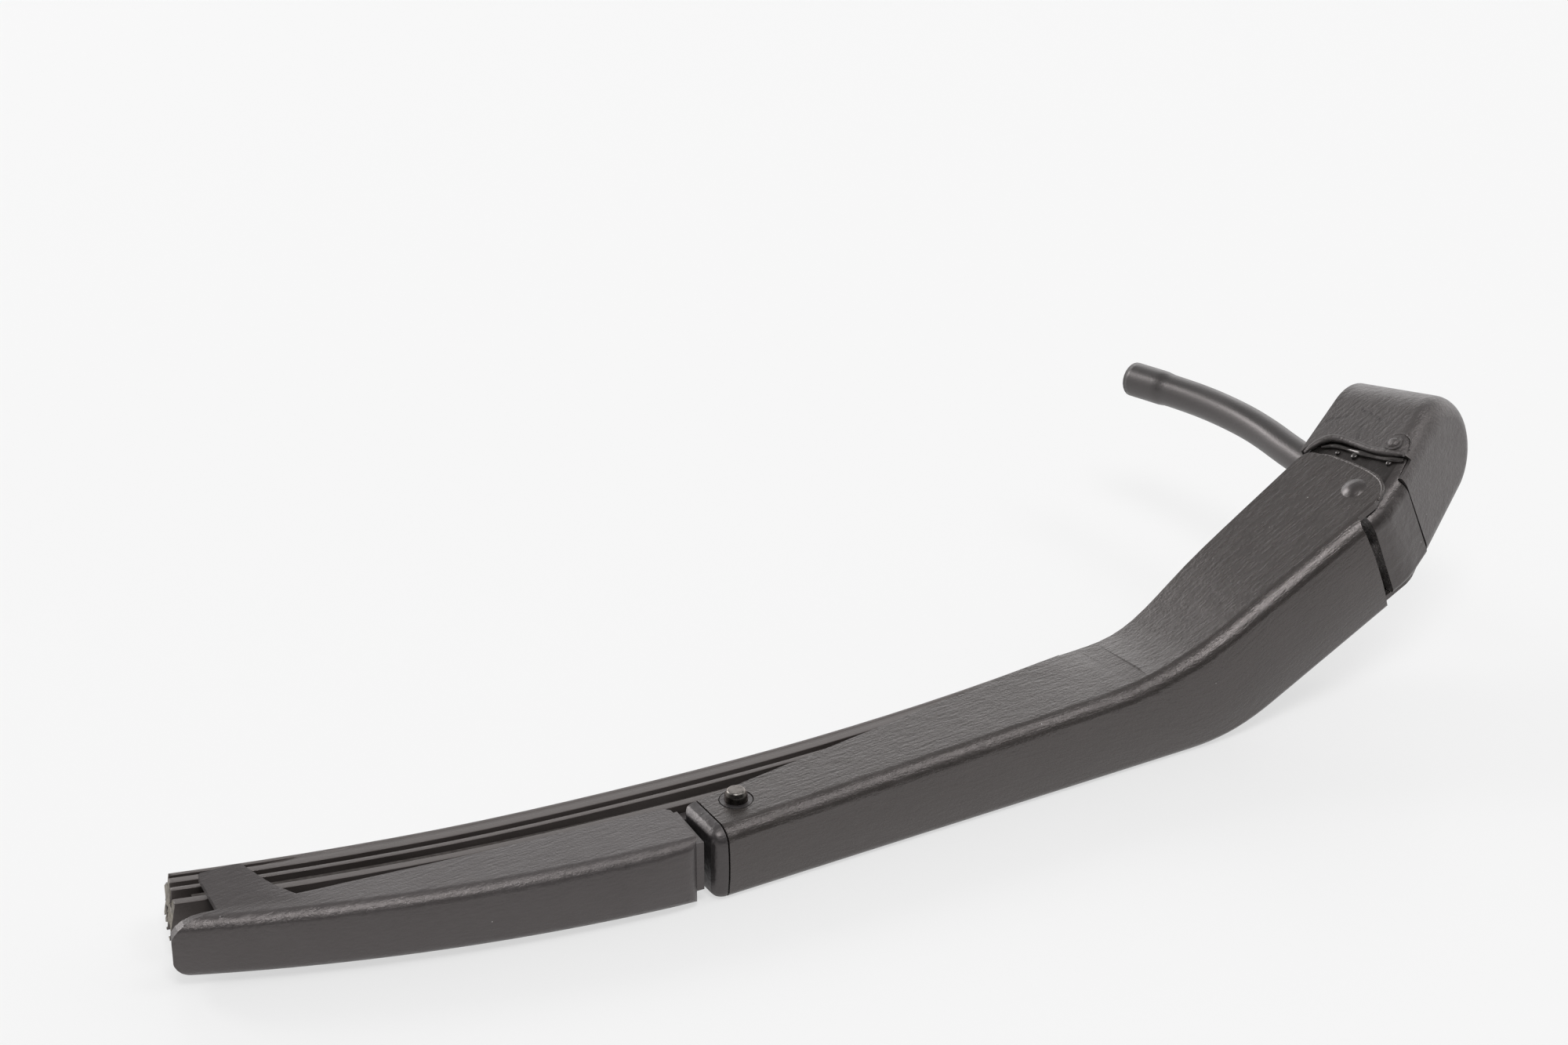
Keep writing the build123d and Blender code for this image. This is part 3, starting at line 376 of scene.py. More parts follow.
def add_math(tree, operation, first, second):
    node = tree.nodes.new("ShaderNodeMath")
    node.operation = operation
    connect(tree, first, node.inputs[0])
    connect(tree, second, node.inputs[1])
    return node.outputs["Value"]


def add_vector_math(tree, operation, first, second, output="Vector"):
    node = tree.nodes.new("ShaderNodeVectorMath")
    node.operation = operation
    connect(tree, first, node.inputs[0])
    connect(tree, second, node.inputs[1])
    return node.outputs[output]


def add_scaled(tree, vector, scale):
    node = tree.nodes.new("ShaderNodeVectorMath")
    node.operation = "SCALE"
    connect(tree, vector, node.inputs[0])
    connect(tree, scale, node.inputs["Scale"])
    return node.outputs["Vector"]


def add_range(tree, value, low, high, to_low, to_high):
    node = tree.nodes.new("ShaderNodeMapRange")
    node.inputs["From Min"].default_value = low
    connect(tree, high, node.inputs["From Max"])
    node.inputs["To Min"].default_value = to_low
    node.inputs["To Max"].default_value = to_high
    tree.links.new(value, node.inputs["Value"])
    return node.outputs["Result"]


def add_mapping(tree, vector, turn, scale):
    mapping = tree.nodes.new("ShaderNodeMapping")
    mapping.inputs["Rotation"].default_value = turn
    mapping.inputs["Scale"].default_value = scale
    tree.links.new(vector, mapping.inputs["Vector"])
    return mapping.outputs["Vector"]


def add_split(tree, vector):
    split = tree.nodes.new("ShaderNodeSeparateXYZ")
    tree.links.new(vector, split.inputs["Vector"])
    return split.outputs


def add_mix(tree, factor, first, second):
    mix = tree.nodes.new("ShaderNodeMix")
    mix.data_type = "RGBA"
    tree.links.new(factor, mix.inputs["Factor"])
    connect(tree, first, mix.inputs[MIX_COLOUR[0]])
    connect(tree, second, mix.inputs[MIX_COLOUR[1]])
    return mix.outputs[MIX_COLOUR_OUT]


def add_bump(tree, height, strength, distance, normal=None):
    bump = tree.nodes.new("ShaderNodeBump")
    bump.inputs["Strength"].default_value = strength
    bump.inputs["Distance"].default_value = distance
    tree.links.new(height, bump.inputs["Height"])
    if normal:
        tree.links.new(normal, bump.inputs["Normal"])
    return bump.outputs["Normal"]


# Shader node groups shared by the finishes
def new_group(name, inputs, outputs):
    """An empty shader group with a vector input named Vector, the given inputs and float outputs."""
    group = bpy.data.node_groups.new(name, "ShaderNodeTree")
    group.interface.new_socket("Vector", in_out="INPUT", socket_type="NodeSocketVector")
    for title, value in inputs:
        kind = "NodeSocketFloat" if isinstance(value, float) else "NodeSocketVector"
        socket = group.interface.new_socket(title, in_out="INPUT", socket_type=kind)
        socket.default_value = value
    for title in outputs:
        group.interface.new_socket(title, in_out="OUTPUT", socket_type="NodeSocketFloat")
    entry = group.nodes.new("NodeGroupInput")
    leave = group.nodes.new("NodeGroupOutput")
    return group, entry.outputs, leave.inputs


def brushed_coat_group():
    """Thick brushed or sprayed paint: fine peel, short streaks along X, slow dents and patches."""
    sizes = (("Peel Scale", 900.0), ("Streak Scale", 1500.0), ("Dent Scale", 220.0))
    group, entry, leave = new_group("brushed_coat", sizes, ("Relief", "Dents", "Patch", "Grain"))
    vector = entry["Vector"]
    peel = add_noise(group, vector, entry["Peel Scale"], detail=4.0, roughness=0.65)
    streak_vector = add_mapping(group, vector, (0, 0, 0), STREAK_STRETCH)
    streak = add_noise(group, streak_vector, entry["Streak Scale"], detail=3.0, roughness=0.6)
    dents = add_noise(group, vector, entry["Dent Scale"], detail=2.0, roughness=0.5)
    patch = add_noise(group, vector, PATCH_SCALE, detail=3.0, roughness=0.55)
    group.links.new(add_math(group, "ADD", peel, streak), leave["Relief"])
    group.links.new(dents, leave["Dents"])
    group.links.new(patch, leave["Patch"])
    group.links.new(streak, leave["Grain"])
    return group


def specks_group():
    """Sparse pale specks of dust and tiny chips."""
    group, entry, leave = new_group("specks", (("Scale", 420.0), ("Size", 0.06)), ("Mask",))
    cells = group.nodes.new("ShaderNodeTexVoronoi")
    group.links.new(entry["Vector"], cells.inputs["Vector"])
    group.links.new(entry["Scale"], cells.inputs["Scale"])
    inside = add_math(group, "LESS_THAN", cells.outputs["Distance"], entry["Size"])
    split = group.nodes.new("ShaderNodeSeparateColor")
    group.links.new(cells.outputs["Color"], split.inputs["Color"])
    chosen = add_math(group, "GREATER_THAN", split.outputs["Red"], SPECK_RARITY)
    group.links.new(add_math(group, "MULTIPLY", inside, chosen), leave["Mask"])
    return group


def scratch_group():
    """One thin uneven scratch between two places."""
    sizes = (("Start", (0.0, 0.0, 0.0)), ("End", (0.0, 0.0, 0.0)), ("Width", 0.0002))
    group, entry, leave = new_group("scratch", sizes, ("Mask",))
    vector = entry["Vector"]
    wobble = add_noise(group, vector, SCRATCH_WOBBLE_SCALE, detail=2.0, roughness=0.5, output="Color")
    shake = add_scaled(group, add_vector_math(group, "SUBTRACT", wobble, NOISE_MIDDLE), SCRATCH_WOBBLE)
    place = add_vector_math(group, "ADD", vector, shake)
    reach = add_vector_math(group, "SUBTRACT", place, entry["Start"])
    run = add_vector_math(group, "SUBTRACT", entry["End"], entry["Start"])
    along = add_vector_math(group, "DOT_PRODUCT", reach, run, "Value")
    whole = add_vector_math(group, "DOT_PRODUCT", run, run, "Value")
    share = add_range(group, add_math(group, "DIVIDE", along, whole), 0, 1.0, 0, 1)
    away = add_vector_math(group, "SUBTRACT", reach, add_scaled(group, run, share))
    distance = add_vector_math(group, "DISTANCE", away, (0, 0, 0), "Value")
    group.links.new(add_range(group, distance, 0, entry["Width"], 1, 0), leave["Mask"])
    return group


coat = brushed_coat_group()
specks = specks_group()
scratch = scratch_group()


# Finishes
def start_material(name, roughness, specular):
    """A material with its shader and object coordinates, ready for the finish's own nodes."""
    material = bpy.data.materials.new(name)
    material.use_nodes = True
    tree = material.node_tree
    shader = tree.nodes["Principled BSDF"]
    shader.inputs["Roughness"].default_value = roughness
    shader.inputs["Specular IOR Level"].default_value = specular
    shader.inputs["Specular Tint"].default_value = WARM_MIRROR
    coords = tree.nodes.new("ShaderNodeTexCoord")
    return material, tree, shader, coords.outputs["Object"]


def place_group(tree, group, vector, **values):
    node = tree.nodes.new("ShaderNodeGroup")
    node.node_tree = group
    tree.links.new(vector, node.inputs["Vector"])
    for title, value in values.items():
        node.inputs[title.replace("_", " ")].default_value = value
    return node.outputs


def add_knee_turn(tree, vector):
    """Coordinates whose X runs along the arm, and turns along the limb after the knee."""
    vector = add_vector_math(tree, "SUBTRACT", vector, on_arm(*KNEE_CENTRE))
    turned = add_mapping(tree, vector, (0, LIMB_ANGLE, 0), (1, 1, 1))
    mix = tree.nodes.new("ShaderNodeMix")
    mix.data_type = "VECTOR"
    tree.links.new(add_range(tree, add_split(tree, vector)["X"], *KNEE_SPAN, 0, 1), mix.inputs["Factor"])
    tree.links.new(vector, mix.inputs[MIX_VECTOR[0]])
    tree.links.new(turned, mix.inputs[MIX_VECTOR[1]])
    return mix.outputs[MIX_VECTOR_OUT]


def paint_finish(name, dark, light, gloss, relief, dents, peel, streak, marks=(), specular=PAINT_SPECULAR):
    """Satin black paint whose tone, gloss and relief follow the brushed coat; marks are scratches."""
    material, tree, shader, vector = start_material(name, gloss[1], specular)
    layer = place_group(tree, coat, add_knee_turn(tree, vector), Peel_Scale=peel, Streak_Scale=streak)
    dust = place_group(tree, specks, vector)
    tone = add_mix(tree, add_range(tree, layer["Patch"], *NOISE_SPREAD, 0, 1), dark, light)
    tone = add_mix(tree, dust["Mask"], tone, DUST)
    height = layer["Relief"]
    for start, end, width, colour in marks:
        line = place_group(tree, scratch, vector, Start=start, End=end, Width=width * MM)
        tone = add_mix(tree, line["Mask"], tone, colour)
        height = add_math(tree, "SUBTRACT", height, add_math(tree, "MULTIPLY", line["Mask"], MARK_DEPTH))
    tree.links.new(tone, shader.inputs["Base Color"])
    tree.links.new(add_range(tree, layer["Grain"], *NOISE_SPREAD, *gloss), shader.inputs["Roughness"])
    broad = add_bump(tree, layer["Dents"], dents, DENT_HEIGHT)
    tree.links.new(add_bump(tree, height, relief, COAT_HEIGHT, broad), shader.inputs["Normal"])
    return material


def rubber_finish(name, dark, light, gloss, bloom_scale, stretch):
    """Rubber with a dusty bloom drawn out along its length."""
    material, tree, shader, vector = start_material(name, gloss[1], RUBBER_SPECULAR)
    drawn = add_mapping(tree, vector, (0, 0, 0), stretch)
    bloom = add_noise(tree, drawn, bloom_scale, detail=6.0, roughness=0.65)
    share = add_range(tree, bloom, *BLOOM_SPREAD, 0, 1)
    tree.links.new(add_mix(tree, share, dark, light), shader.inputs["Base Color"])
    tree.links.new(add_range(tree, bloom, *BLOOM_SPREAD, *gloss), shader.inputs["Roughness"])
    grain = add_noise(tree, vector, RUBBER_GRAIN_SCALE, detail=3.0, roughness=0.6)
    relief = add_bump(tree, grain, RUBBER_GRAIN_STRENGTH, RUBBER_GRAIN_HEIGHT)
    tree.links.new(relief, shader.inputs["Normal"])
    return material


def steel_finish(name, tone, worn, gloss):
    """Dull steel with fine turning lines."""
    material, tree, shader, vector = start_material(name, gloss[1], STEEL_SPECULAR)
    shader.inputs["Metallic"].default_value = 1.0
    drawn = add_mapping(tree, vector, (0, 0, 0), TURNING_STRETCH)
    lines = add_noise(tree, drawn, TURNING_SCALE, detail=3.0, roughness=0.6)
    share = add_range(tree, lines, *BLOOM_SPREAD, 0, 1)
    tree.links.new(add_mix(tree, share, tone, worn), shader.inputs["Base Color"])
    tree.links.new(add_range(tree, lines, *NOISE_SPREAD, *gloss), shader.inputs["Roughness"])
    return material


def pin_finish(name, dark, scuffed, bare, gloss):
    """Oil-dark steel, rubbed bright on top."""
    material, tree, shader, vector = start_material(name, gloss[1], STEEL_SPECULAR)
    shader.inputs["Metallic"].default_value = 1.0
    scuffs = add_noise(tree, vector, SCUFF_SCALE, detail=4.0, roughness=0.7)
    height = add_split(tree, vector)["Z"]
    top = add_range(tree, height, pin_top - PIN_TOP_SPAN[0], pin_top - PIN_TOP_SPAN[1], 0, 1)
    rubbed = add_math(tree, "MULTIPLY", top, add_range(tree, scuffs, 0.35, 0.6, 0.5, 1))
    side = add_mix(tree, add_range(tree, scuffs, 0.4, 0.7, 0, 1), dark, scuffed)
    tree.links.new(add_mix(tree, rubbed, side, bare), shader.inputs["Base Color"])
    tree.links.new(add_range(tree, scuffs, *NOISE_SPREAD, *gloss), shader.inputs["Roughness"])
    return material


# Colours and materials
DUST = (0.32, 0.31, 0.30, 1)
PALE_CHIP = (0.42, 0.39, 0.34, 1)
PALE_SCRATCH = (0.30, 0.29, 0.28, 1)
FAINT_SCRATCH = (0.12, 0.12, 0.12, 1)
DARK_NICK = (0.012, 0.011, 0.011, 1)
arm_paint = paint_finish(
    "arm_paint",
    dark=(0.024, 0.021, 0.019, 1),
    light=(0.031, 0.027, 0.025, 1),
    gloss=(0.20, 0.32),
    relief=0.5,
    dents=0.10,
    peel=1500.0,
    streak=1400.0,
    marks=(
        (on_arm(0.5, 0.1, 12.9), on_arm(0.6, 0.1, 11.6), 0.35, PALE_CHIP),
        (on_arm(0.3, 0.2, 14.0), on_arm(0.3, 0.1, 13.4), 0.25, PALE_CHIP),
    ),
)
head_paint = paint_finish(
    "head_paint",
    dark=(0.020, 0.018, 0.017, 1),
    light=(0.026, 0.023, 0.022, 1),
    gloss=(0.24, 0.34),
    relief=0.35,
    dents=0.45,
    peel=1500.0,
    streak=700.0,
)
# Painted shade for the head's recessed neck: the head paint made darker and less mirroring
neck_painted_shade = paint_finish(
    "neck_painted_shade",
    dark=(0.016, 0.014, 0.013, 1),
    light=(0.022, 0.020, 0.019, 1),
    gloss=(0.24, 0.34),
    relief=0.35,
    dents=0.45,
    peel=1500.0,
    streak=700.0,
    specular=NECK_SHADE_SPECULAR,
)
cover_paint = paint_finish(
    "cover_paint",
    dark=(0.035, 0.032, 0.031, 1),
    light=(0.044, 0.040, 0.039, 1),
    gloss=(0.32, 0.44),
    relief=0.7,
    dents=0.15,
    peel=1500.0,
    streak=1100.0,
    marks=(
        (on_head(22.0, 9.9, 12.6), on_head(20.0, 4.1, 12.6), 0.7, DARK_NICK),
        (on_head(17.1, 16.8, 12.6), on_head(19.5, 12.5, 12.6), 0.7, DARK_NICK),
        (on_head(16.9, 7.6, 12.6), on_head(14.0, 6.6, 12.6), 0.8, DARK_NICK),
    ),
)
wet_paint = paint_finish(
    "wet_paint",
    dark=(0.016, 0.015, 0.014, 1),
    light=(0.020, 0.018, 0.017, 1),
    gloss=(0.12, 0.18),
    relief=0.1,
    dents=0.35,
    peel=1500.0,
    streak=700.0,
)
mould_black = paint_finish(
    "mould_black",
    dark=(0.033, 0.029, 0.029, 1),
    light=(0.041, 0.037, 0.037, 1),
    gloss=(0.32, 0.44),
    relief=0.45,
    dents=0.06,
    peel=1700.0,
    streak=1500.0,
    marks=(
        (on_blade(-86.0, 8.6, 6.5), on_blade(-74.0, 9.6, 6.5), 0.22, PALE_SCRATCH),
        (on_blade(-80.0, 3.2, 6.5), on_blade(-71.0, 2.6, 6.6), 0.12, FAINT_SCRATCH),
    ),
)
plug_black = paint_finish(
    "plug_black",
    dark=(0.018, 0.017, 0.018, 1),
    light=(0.025, 0.023, 0.024, 1),
    gloss=(0.32, 0.42),
    relief=0.4,
    dents=0.35,
    peel=1500.0,
    streak=900.0,
)
blade_rubber = rubber_finish(
    "blade_rubber", (0.044, 0.038, 0.035, 1), (0.072, 0.063, 0.059, 1), (0.32, 0.50), 160.0, (0.12, 1, 1)
)
rubber_cut = rubber_finish(
    "rubber_cut", (0.10, 0.09, 0.075, 1), (0.34, 0.31, 0.25, 1), (0.7, 0.9), 700.0, (1, 1, 1)
)
hose_rubber = rubber_finish(
    "hose_rubber", (0.010, 0.010, 0.010, 1), (0.018, 0.017, 0.017, 1), (0.32, 0.44), 200.0, (1, 0.2, 1)
)
dull_steel = steel_finish("dull_steel", (0.20, 0.19, 0.18, 1), (0.34, 0.33, 0.31, 1), (0.28, 0.5))
strip_steel = steel_finish("strip_steel", (0.035, 0.032, 0.030, 1), (0.09, 0.085, 0.08, 1), (0.35, 0.55))
pin_steel = pin_finish(
    "pin_steel", (0.05, 0.046, 0.043, 1), (0.12, 0.11, 0.10, 1), (0.26, 0.245, 0.23, 1), (0.20, 0.42)
)


# Softened copies of the painted, moulded and rubber pieces
def new_piece(name, mesh, body, slot, *materials):
    piece = bpy.data.objects.new(name, mesh)
    scene.collection.objects.link(piece)
    for material in materials:
        mesh.materials.append(material)
    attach(piece, body)
    return piece


def shade(mesh):
    mesh.polygons.foreach_set("use_smooth", [True] * len(mesh.polygons))
    mesh.set_sharp_from_angle(angle=SHADE_ANGLE)


def merged_solid(node):
    work = bmesh.new()
    work.from_mesh(nodes[node].data)
    bmesh.ops.remove_doubles(work, verts=work.verts, dist=MERGE_GAP)
    bmesh.ops.dissolve_limit(work, angle_limit=FLAT_ANGLE, verts=work.verts, edges=work.edges)
    return work


def sharp_edges(work):
    return [edge for edge in work.edges if edge.is_manifold and edge.calc_face_angle() > SHARP_ANGLE]


def round_edges(work, edges, width, segments=2):
    """Round some edges, as thick paint or a mould leaves them."""
    bmesh.ops.bevel(
        work,
        geom=edges,
        offset=width,
        offset_type="OFFSET",
        affect="EDGES",
        segments=segments,
        profile=0.5,
        material=-1,
        clamp_overlap=True,
    )


def finished_mesh(work, name):
    mesh = bpy.data.meshes.new(name)
    work.to_mesh(mesh)
    work.free()
    shade(mesh)
    return mesh


def replace_solid(node, name, work, body, slot, *materials):
    piece = new_piece(name, finished_mesh(work, name), body, slot, *materials)
    normals = piece.modifiers.new("even_normals", "WEIGHTED_NORMAL")
    normals.mode = "FACE_AREA_WITH_ANGLE"
    normals.keep_sharp = True
    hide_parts(node)


def softened(node, width):
    work = merged_solid(node)
    round_edges(work, sharp_edges(work), width)
    return work


# Swells and bends that the plain solids leave out
def slice_faces(work, places, direction, chosen):
    """Cut the chosen faces across a direction at some places, so that a swell has points to follow."""
    for place in places:
        faces = [face for face in work.faces if chosen(face.calc_center_median())]
        edges = {edge for face in faces for edge in face.edges}
        points = {point for face in faces for point in face.verts}
        bmesh.ops.bisect_plane(work, geom=[*points, *edges, *faces], plane_co=place, plane_no=direction)


def everywhere(place):
    return True


def smooth(value):
    value = min(1.0, max(0.0, value))
    return value * value * (3 - 2 * value)


def higher(first, second, rounding):
    """The higher of two lines, rounded where they cross."""
    return (first + second + sqrt((first - second) ** 2 + rounding**2)) / 2


def web_span(along):
    """The web's lower and upper edge at a distance from the arm's tip."""
    rise = (along - STRAIGHT_LENGTH) * tan(LIMB_ANGLE)
    low = higher(0, rise, LOW_KNEE_ROUND)
    high = higher(TIP_WIDTH + WIDTH_SLOPE * along, rise + LIMB_WIDTH / cos(LIMB_ANGLE), HIGH_KNEE_ROUND)
    return low, high


def bulge(share, height, depth):
    """How far a face of some height swells outwards, at a share of that height and a depth behind it."""
    away = min(1.0, abs(2 * share - 1))
    return (1 - away**BULGE_POWER) * BULGE_SHARE * height * (1 - smooth(depth / BULGE_DEPTH))


def swell_web(work):
    """Bulge the web, and tighten the knee's bend towards the open back."""
    for point in work.verts:
        along, depth, level = (point.co - arm_tip) / MM
        low, high = web_span(along)
        share = (level - low) / (high - low)
        point.co.y -= bulge(share, high - low, depth) * MM
        if share > CHEEK_SHARE:
            back = (depth - KNEE_FRONT) / (TIP_DEPTH + DEPTH_SLOPE * along - KNEE_FRONT)
            near = exp(-(((along - KNEE_PLACE) / KNEE_SPREAD) ** 2))
            point.co.z -= KNEE_DROP * near * smooth(back) * MM


def on_ears(place):
    return (place - hinge).dot(LIMB_DIR) > EAR_START * MM


def bow_ears(work):
    """Round the ears' ends outwards."""
    slice_faces(work, [on_limb(0, depth, 0) for depth in EAR_SLICES], DEPTH_DIR, on_ears)
    for point in work.verts:
        reach = (point.co - hinge) / MM
        along = reach.dot(LIMB_DIR)
        share = (EAR_BACK - reach.y) / (EAR_BACK - EAR_FRONT)
        if along > EAR_START and 0 < share < 1 and abs(reach.dot(LIMB_UP)) > EAR_LEVEL:
            push = EAR_BOW * (4 * share * (1 - share)) ** EAR_BOW_POWER
            point.co += LIMB_DIR * (push * smooth((along - EAR_START) / EAR_FADE) * MM)


def set_back_web_end(work):
    """Draw the web's end back from the neck."""
    for point in work.verts:
        reach = (point.co - hinge) / MM
        inside = smooth((LIMB_WIDTH / 2 - abs(reach.dot(LIMB_UP))) / WEB_END_FADE)
        along = reach.dot(LIMB_DIR)
        if along < WEB_END_STOP and reach.y < WEB_END_DEPTH:
            near = smooth((along - WEB_END_START) / WEB_END_RUN)
            point.co -= LIMB_DIR * (WEB_END_BACK * near * inside * MM)


def head_casting():
    """The head, with painted shade on the neck between the ears and the cover: a darker, less mirroring
    copy of its paint.
    """
    work = softened("pivot_head", PAINT_EDGE)
    work.normal_update()
    # The neck's upper faces, between the ears and the cover, take the painted shade
    for face in work.faces:
        level = (face.calc_center_median() - hinge).dot(LIMB_UP) / MM
        if NECK_LEVELS[0] < level < NECK_LEVELS[1] and face.normal.dot(LIMB_UP) > NECK_FACING:
            face.material_index = 1
    replace_solid("pivot_head", "head_casting", work, "head", "cast_head", head_paint, neck_painted_shade)


def on_ear_rim(edge):
    """Whether an edge belongs to the outer rim of an ear's end."""
    ends = [(point.co - hinge) / MM for point in edge.verts]
    past = all(place.dot(LIMB_DIR) > EAR_RIM_START for place in ends)
    outer = all(abs(place.dot(LIMB_UP)) > LIMB_WIDTH / 2 - EAR_RIM_TOLERANCE for place in ends)
    return past and outer and all(place.length > LIMB_WIDTH / 2 + PIN_HOLE_CLEARANCE for place in ends)


def on_web(place):
    return place.y < arm_tip.y + WEB_FRONT * MM


def arm_pressing():
    """The channel with a swollen web, bowed ears and a tighter knee."""
    work = merged_solid("arm_channel")
    round_edges(work, [edge for edge in sharp_edges(work) if on_ear_rim(edge)], EAR_RIM, EAR_RIM_STEPS)
    round_edges(work, sharp_edges(work), PAINT_EDGE)
    bow_ears(work)
    set_back_web_end(work)
    slice_faces(work, [on_arm(along, 0, 0) for along in ARM_SLICES], ARM_DIR, everywhere)
    slice_faces(work, [on_arm(0, 0, level) for level in WEB_SLICES], UP, on_web)
    swell_web(work)
    replace_solid("arm_channel", "arm_pressing", work, "arm", "arm_paint", arm_paint)


def past_tip(place):
    return place.x < arm_tip.x


def end_plug():
    """The plug, swollen with the web and domed at its end."""
    work = softened("tip_plug", MOULD_EDGE)
    slice_faces(work, [on_arm(along, 0, 0) for along in PLUG_SLICES], ARM_DIR, past_tip)
    slice_faces(work, [on_arm(0, 0, level) for level in WEB_SLICES], UP, past_tip)
    swell_web(work)
    for point in work.verts:
        along, depth, level = (point.co - arm_tip) / MM
        if along < PLUG_START:
            out = (along / PLUG_OVERHANG) ** 2
            point.co.x -= PLUG_SEAM * max(0, 1 - out) * MM
            inset = PLUG_DOME * out
            rise = 2 * level / TIP_WIDTH - 1
            front = min(1, max(0, 1 - 2 * depth / TIP_DEPTH))
            point.co.z -= inset * rise**PLUG_DOME_POWER * MM
            point.co.y += inset * front**PLUG_DOME_POWER * MM
    replace_solid("tip_plug", "end_plug", work, "arm", "moulding", plug_black)


def bow_place(point):
    """A point's distance along the blade, behind the bow's outer face, and up."""
    reach = point - blade_pivot
    along = reach.dot(BLADE_DIR) / MM
    front = BOW_RADIUS - BOW_FRONT - sqrt(BOW_RADIUS**2 - along**2)
    return along, reach.dot(BLADE_DEPTH) / MM - front, reach.z / MM


def bow_span(along):
    """The bow's lower and upper edge at a distance along the blade."""
    share = (-along - BOW_END) / (NOSE_REACH - BOW_END)
    return share * (BOW_DROP - NOSE_DROP) - BOW_DROP, BOW_HALF - share * (BOW_HALF - NOSE_HALF)


def round_nose(work):
    """Cut the nose's upper and lower corner to a rounded end."""
    for side, edge in ((1, NOSE_HALF), (-1, NOSE_DROP)):
        for angle in NOSE_CUTS:
            out = Vector((-cos(radians(angle)), side * sin(radians(angle))))
            reach = sqrt((NOSE_ROUND[0] * out.x) ** 2 + (NOSE_ROUND[1] * out.y) ** 2)
            along = NOSE_ROUND[0] - NOSE_REACH + NOSE_ROUND[0] ** 2 * out.x / reach
            level = side * (edge - NOSE_ROUND[1]) + NOSE_ROUND[1] ** 2 * out.y / reach
            cut = bmesh.ops.bisect_plane(
                work,
                geom=[*work.verts, *work.edges, *work.faces],
                plane_co=on_blade(along, 0, level),
                plane_no=BLADE_DIR * out.x + UP * out.y,
                clear_outer=True,
            )
            rim = [part for part in cut["geom_cut"] if isinstance(part, bmesh.types.BMEdge)]
            bmesh.ops.holes_fill(work, edges=rim, sides=0)
    bmesh.ops.recalc_face_normals(work, faces=work.faces)


def raise_claw(point):
    """Lift a point of the claw out of the valley behind the bow's edge, along the line of sight."""
    along = (point.co - blade_pivot).dot(BLADE_DIR) / MM
    beyond = (point.co - on_blade(*CLAW_VALLEY, 0)).dot(CLAW_DIR) / MM
    climb = beyond - CLAW_SOFT / 2 if beyond > CLAW_SOFT else max(0, beyond) ** 2 / (2 * CLAW_SOFT)
    fade = smooth((CLAW_SPAN[1] - along) / (CLAW_SPAN[1] - CLAW_SPAN[0]))
    rise = CLAW_TILT * climb * fade
    share = min(1.0, max(0.0, beyond / CLAW_LENGTH))
    right = CLAW_RIGHT[0] + share * (CLAW_RIGHT[1] - CLAW_RIGHT[0])
    near = smooth(1 - (right - along) / CLAW_SAG_SPAN)
    point.co -= BLADE_DIR * (CLAW_SAG * 4 * share * (1 - share) * near * MM)
    point.co += (BLADE_DIR * CLAW_SHIFT[0] + BLADE_DEPTH * CLAW_SHIFT[1] + UP) * rise * MM


def on_bow_end(ends):
    """Whether an edge, given by the places of its ends, runs around the bow's end at the arm."""
    across = all(abs(along + BOW_END) < BOW_END_TOLERANCE for along, behind, level in ends)
    low, high = BOW_END_SPAN
    around = all(low < along < high and behind < BOW_END_FRONT for along, behind, level in ends)
    return across or around


def near_bow_corner(place):
    along, behind, level = bow_place(place)
    reach = 2 * BOW_CORNER
    return -BOW_END - reach < along < -BOW_END and behind > BOW_BACK - reach and level > BOW_CORNER_LEVEL


def round_bow_corner(work):
    """Round the bow's upper back corner at the arm, seen from above."""
    across = [on_blade(-BOW_END - cut, 0, 0) for cut in BOW_CORNER_CUTS]
    slice_faces(work, across, BLADE_DIR, near_bow_corner)
    lengthwise = [on_blade(0, BOW_BACK - BOW_FRONT - cut, 0) for cut in BOW_CORNER_CUTS]
    slice_faces(work, lengthwise, BLADE_DEPTH, near_bow_corner)
    for point in work.verts:
        along, behind, level = bow_place(point.co)
        near = (along + BOW_END + BOW_CORNER) / BOW_CORNER
        far = (behind - BOW_BACK + BOW_CORNER) / BOW_CORNER
        if 0 < near < BOW_CORNER_LIMIT and 0 < far < BOW_CORNER_LIMIT and level > BOW_CORNER_LEVEL:
            shrink = max(near, far) / sqrt(near**2 + far**2) - 1
            point.co += (BLADE_DIR * near + BLADE_DEPTH * far) * (shrink * BOW_CORNER * MM)


def on_bow(place):
    return bow_place(place)[0] < -BOW_END


def on_bow_front(place):
    return on_bow(place) and bow_place(place)[1] < BULGE_DEPTH


def on_claw(place):
    return bow_place(place)[0] < CLAW_SPAN[1] and place.z > blade_pivot.z


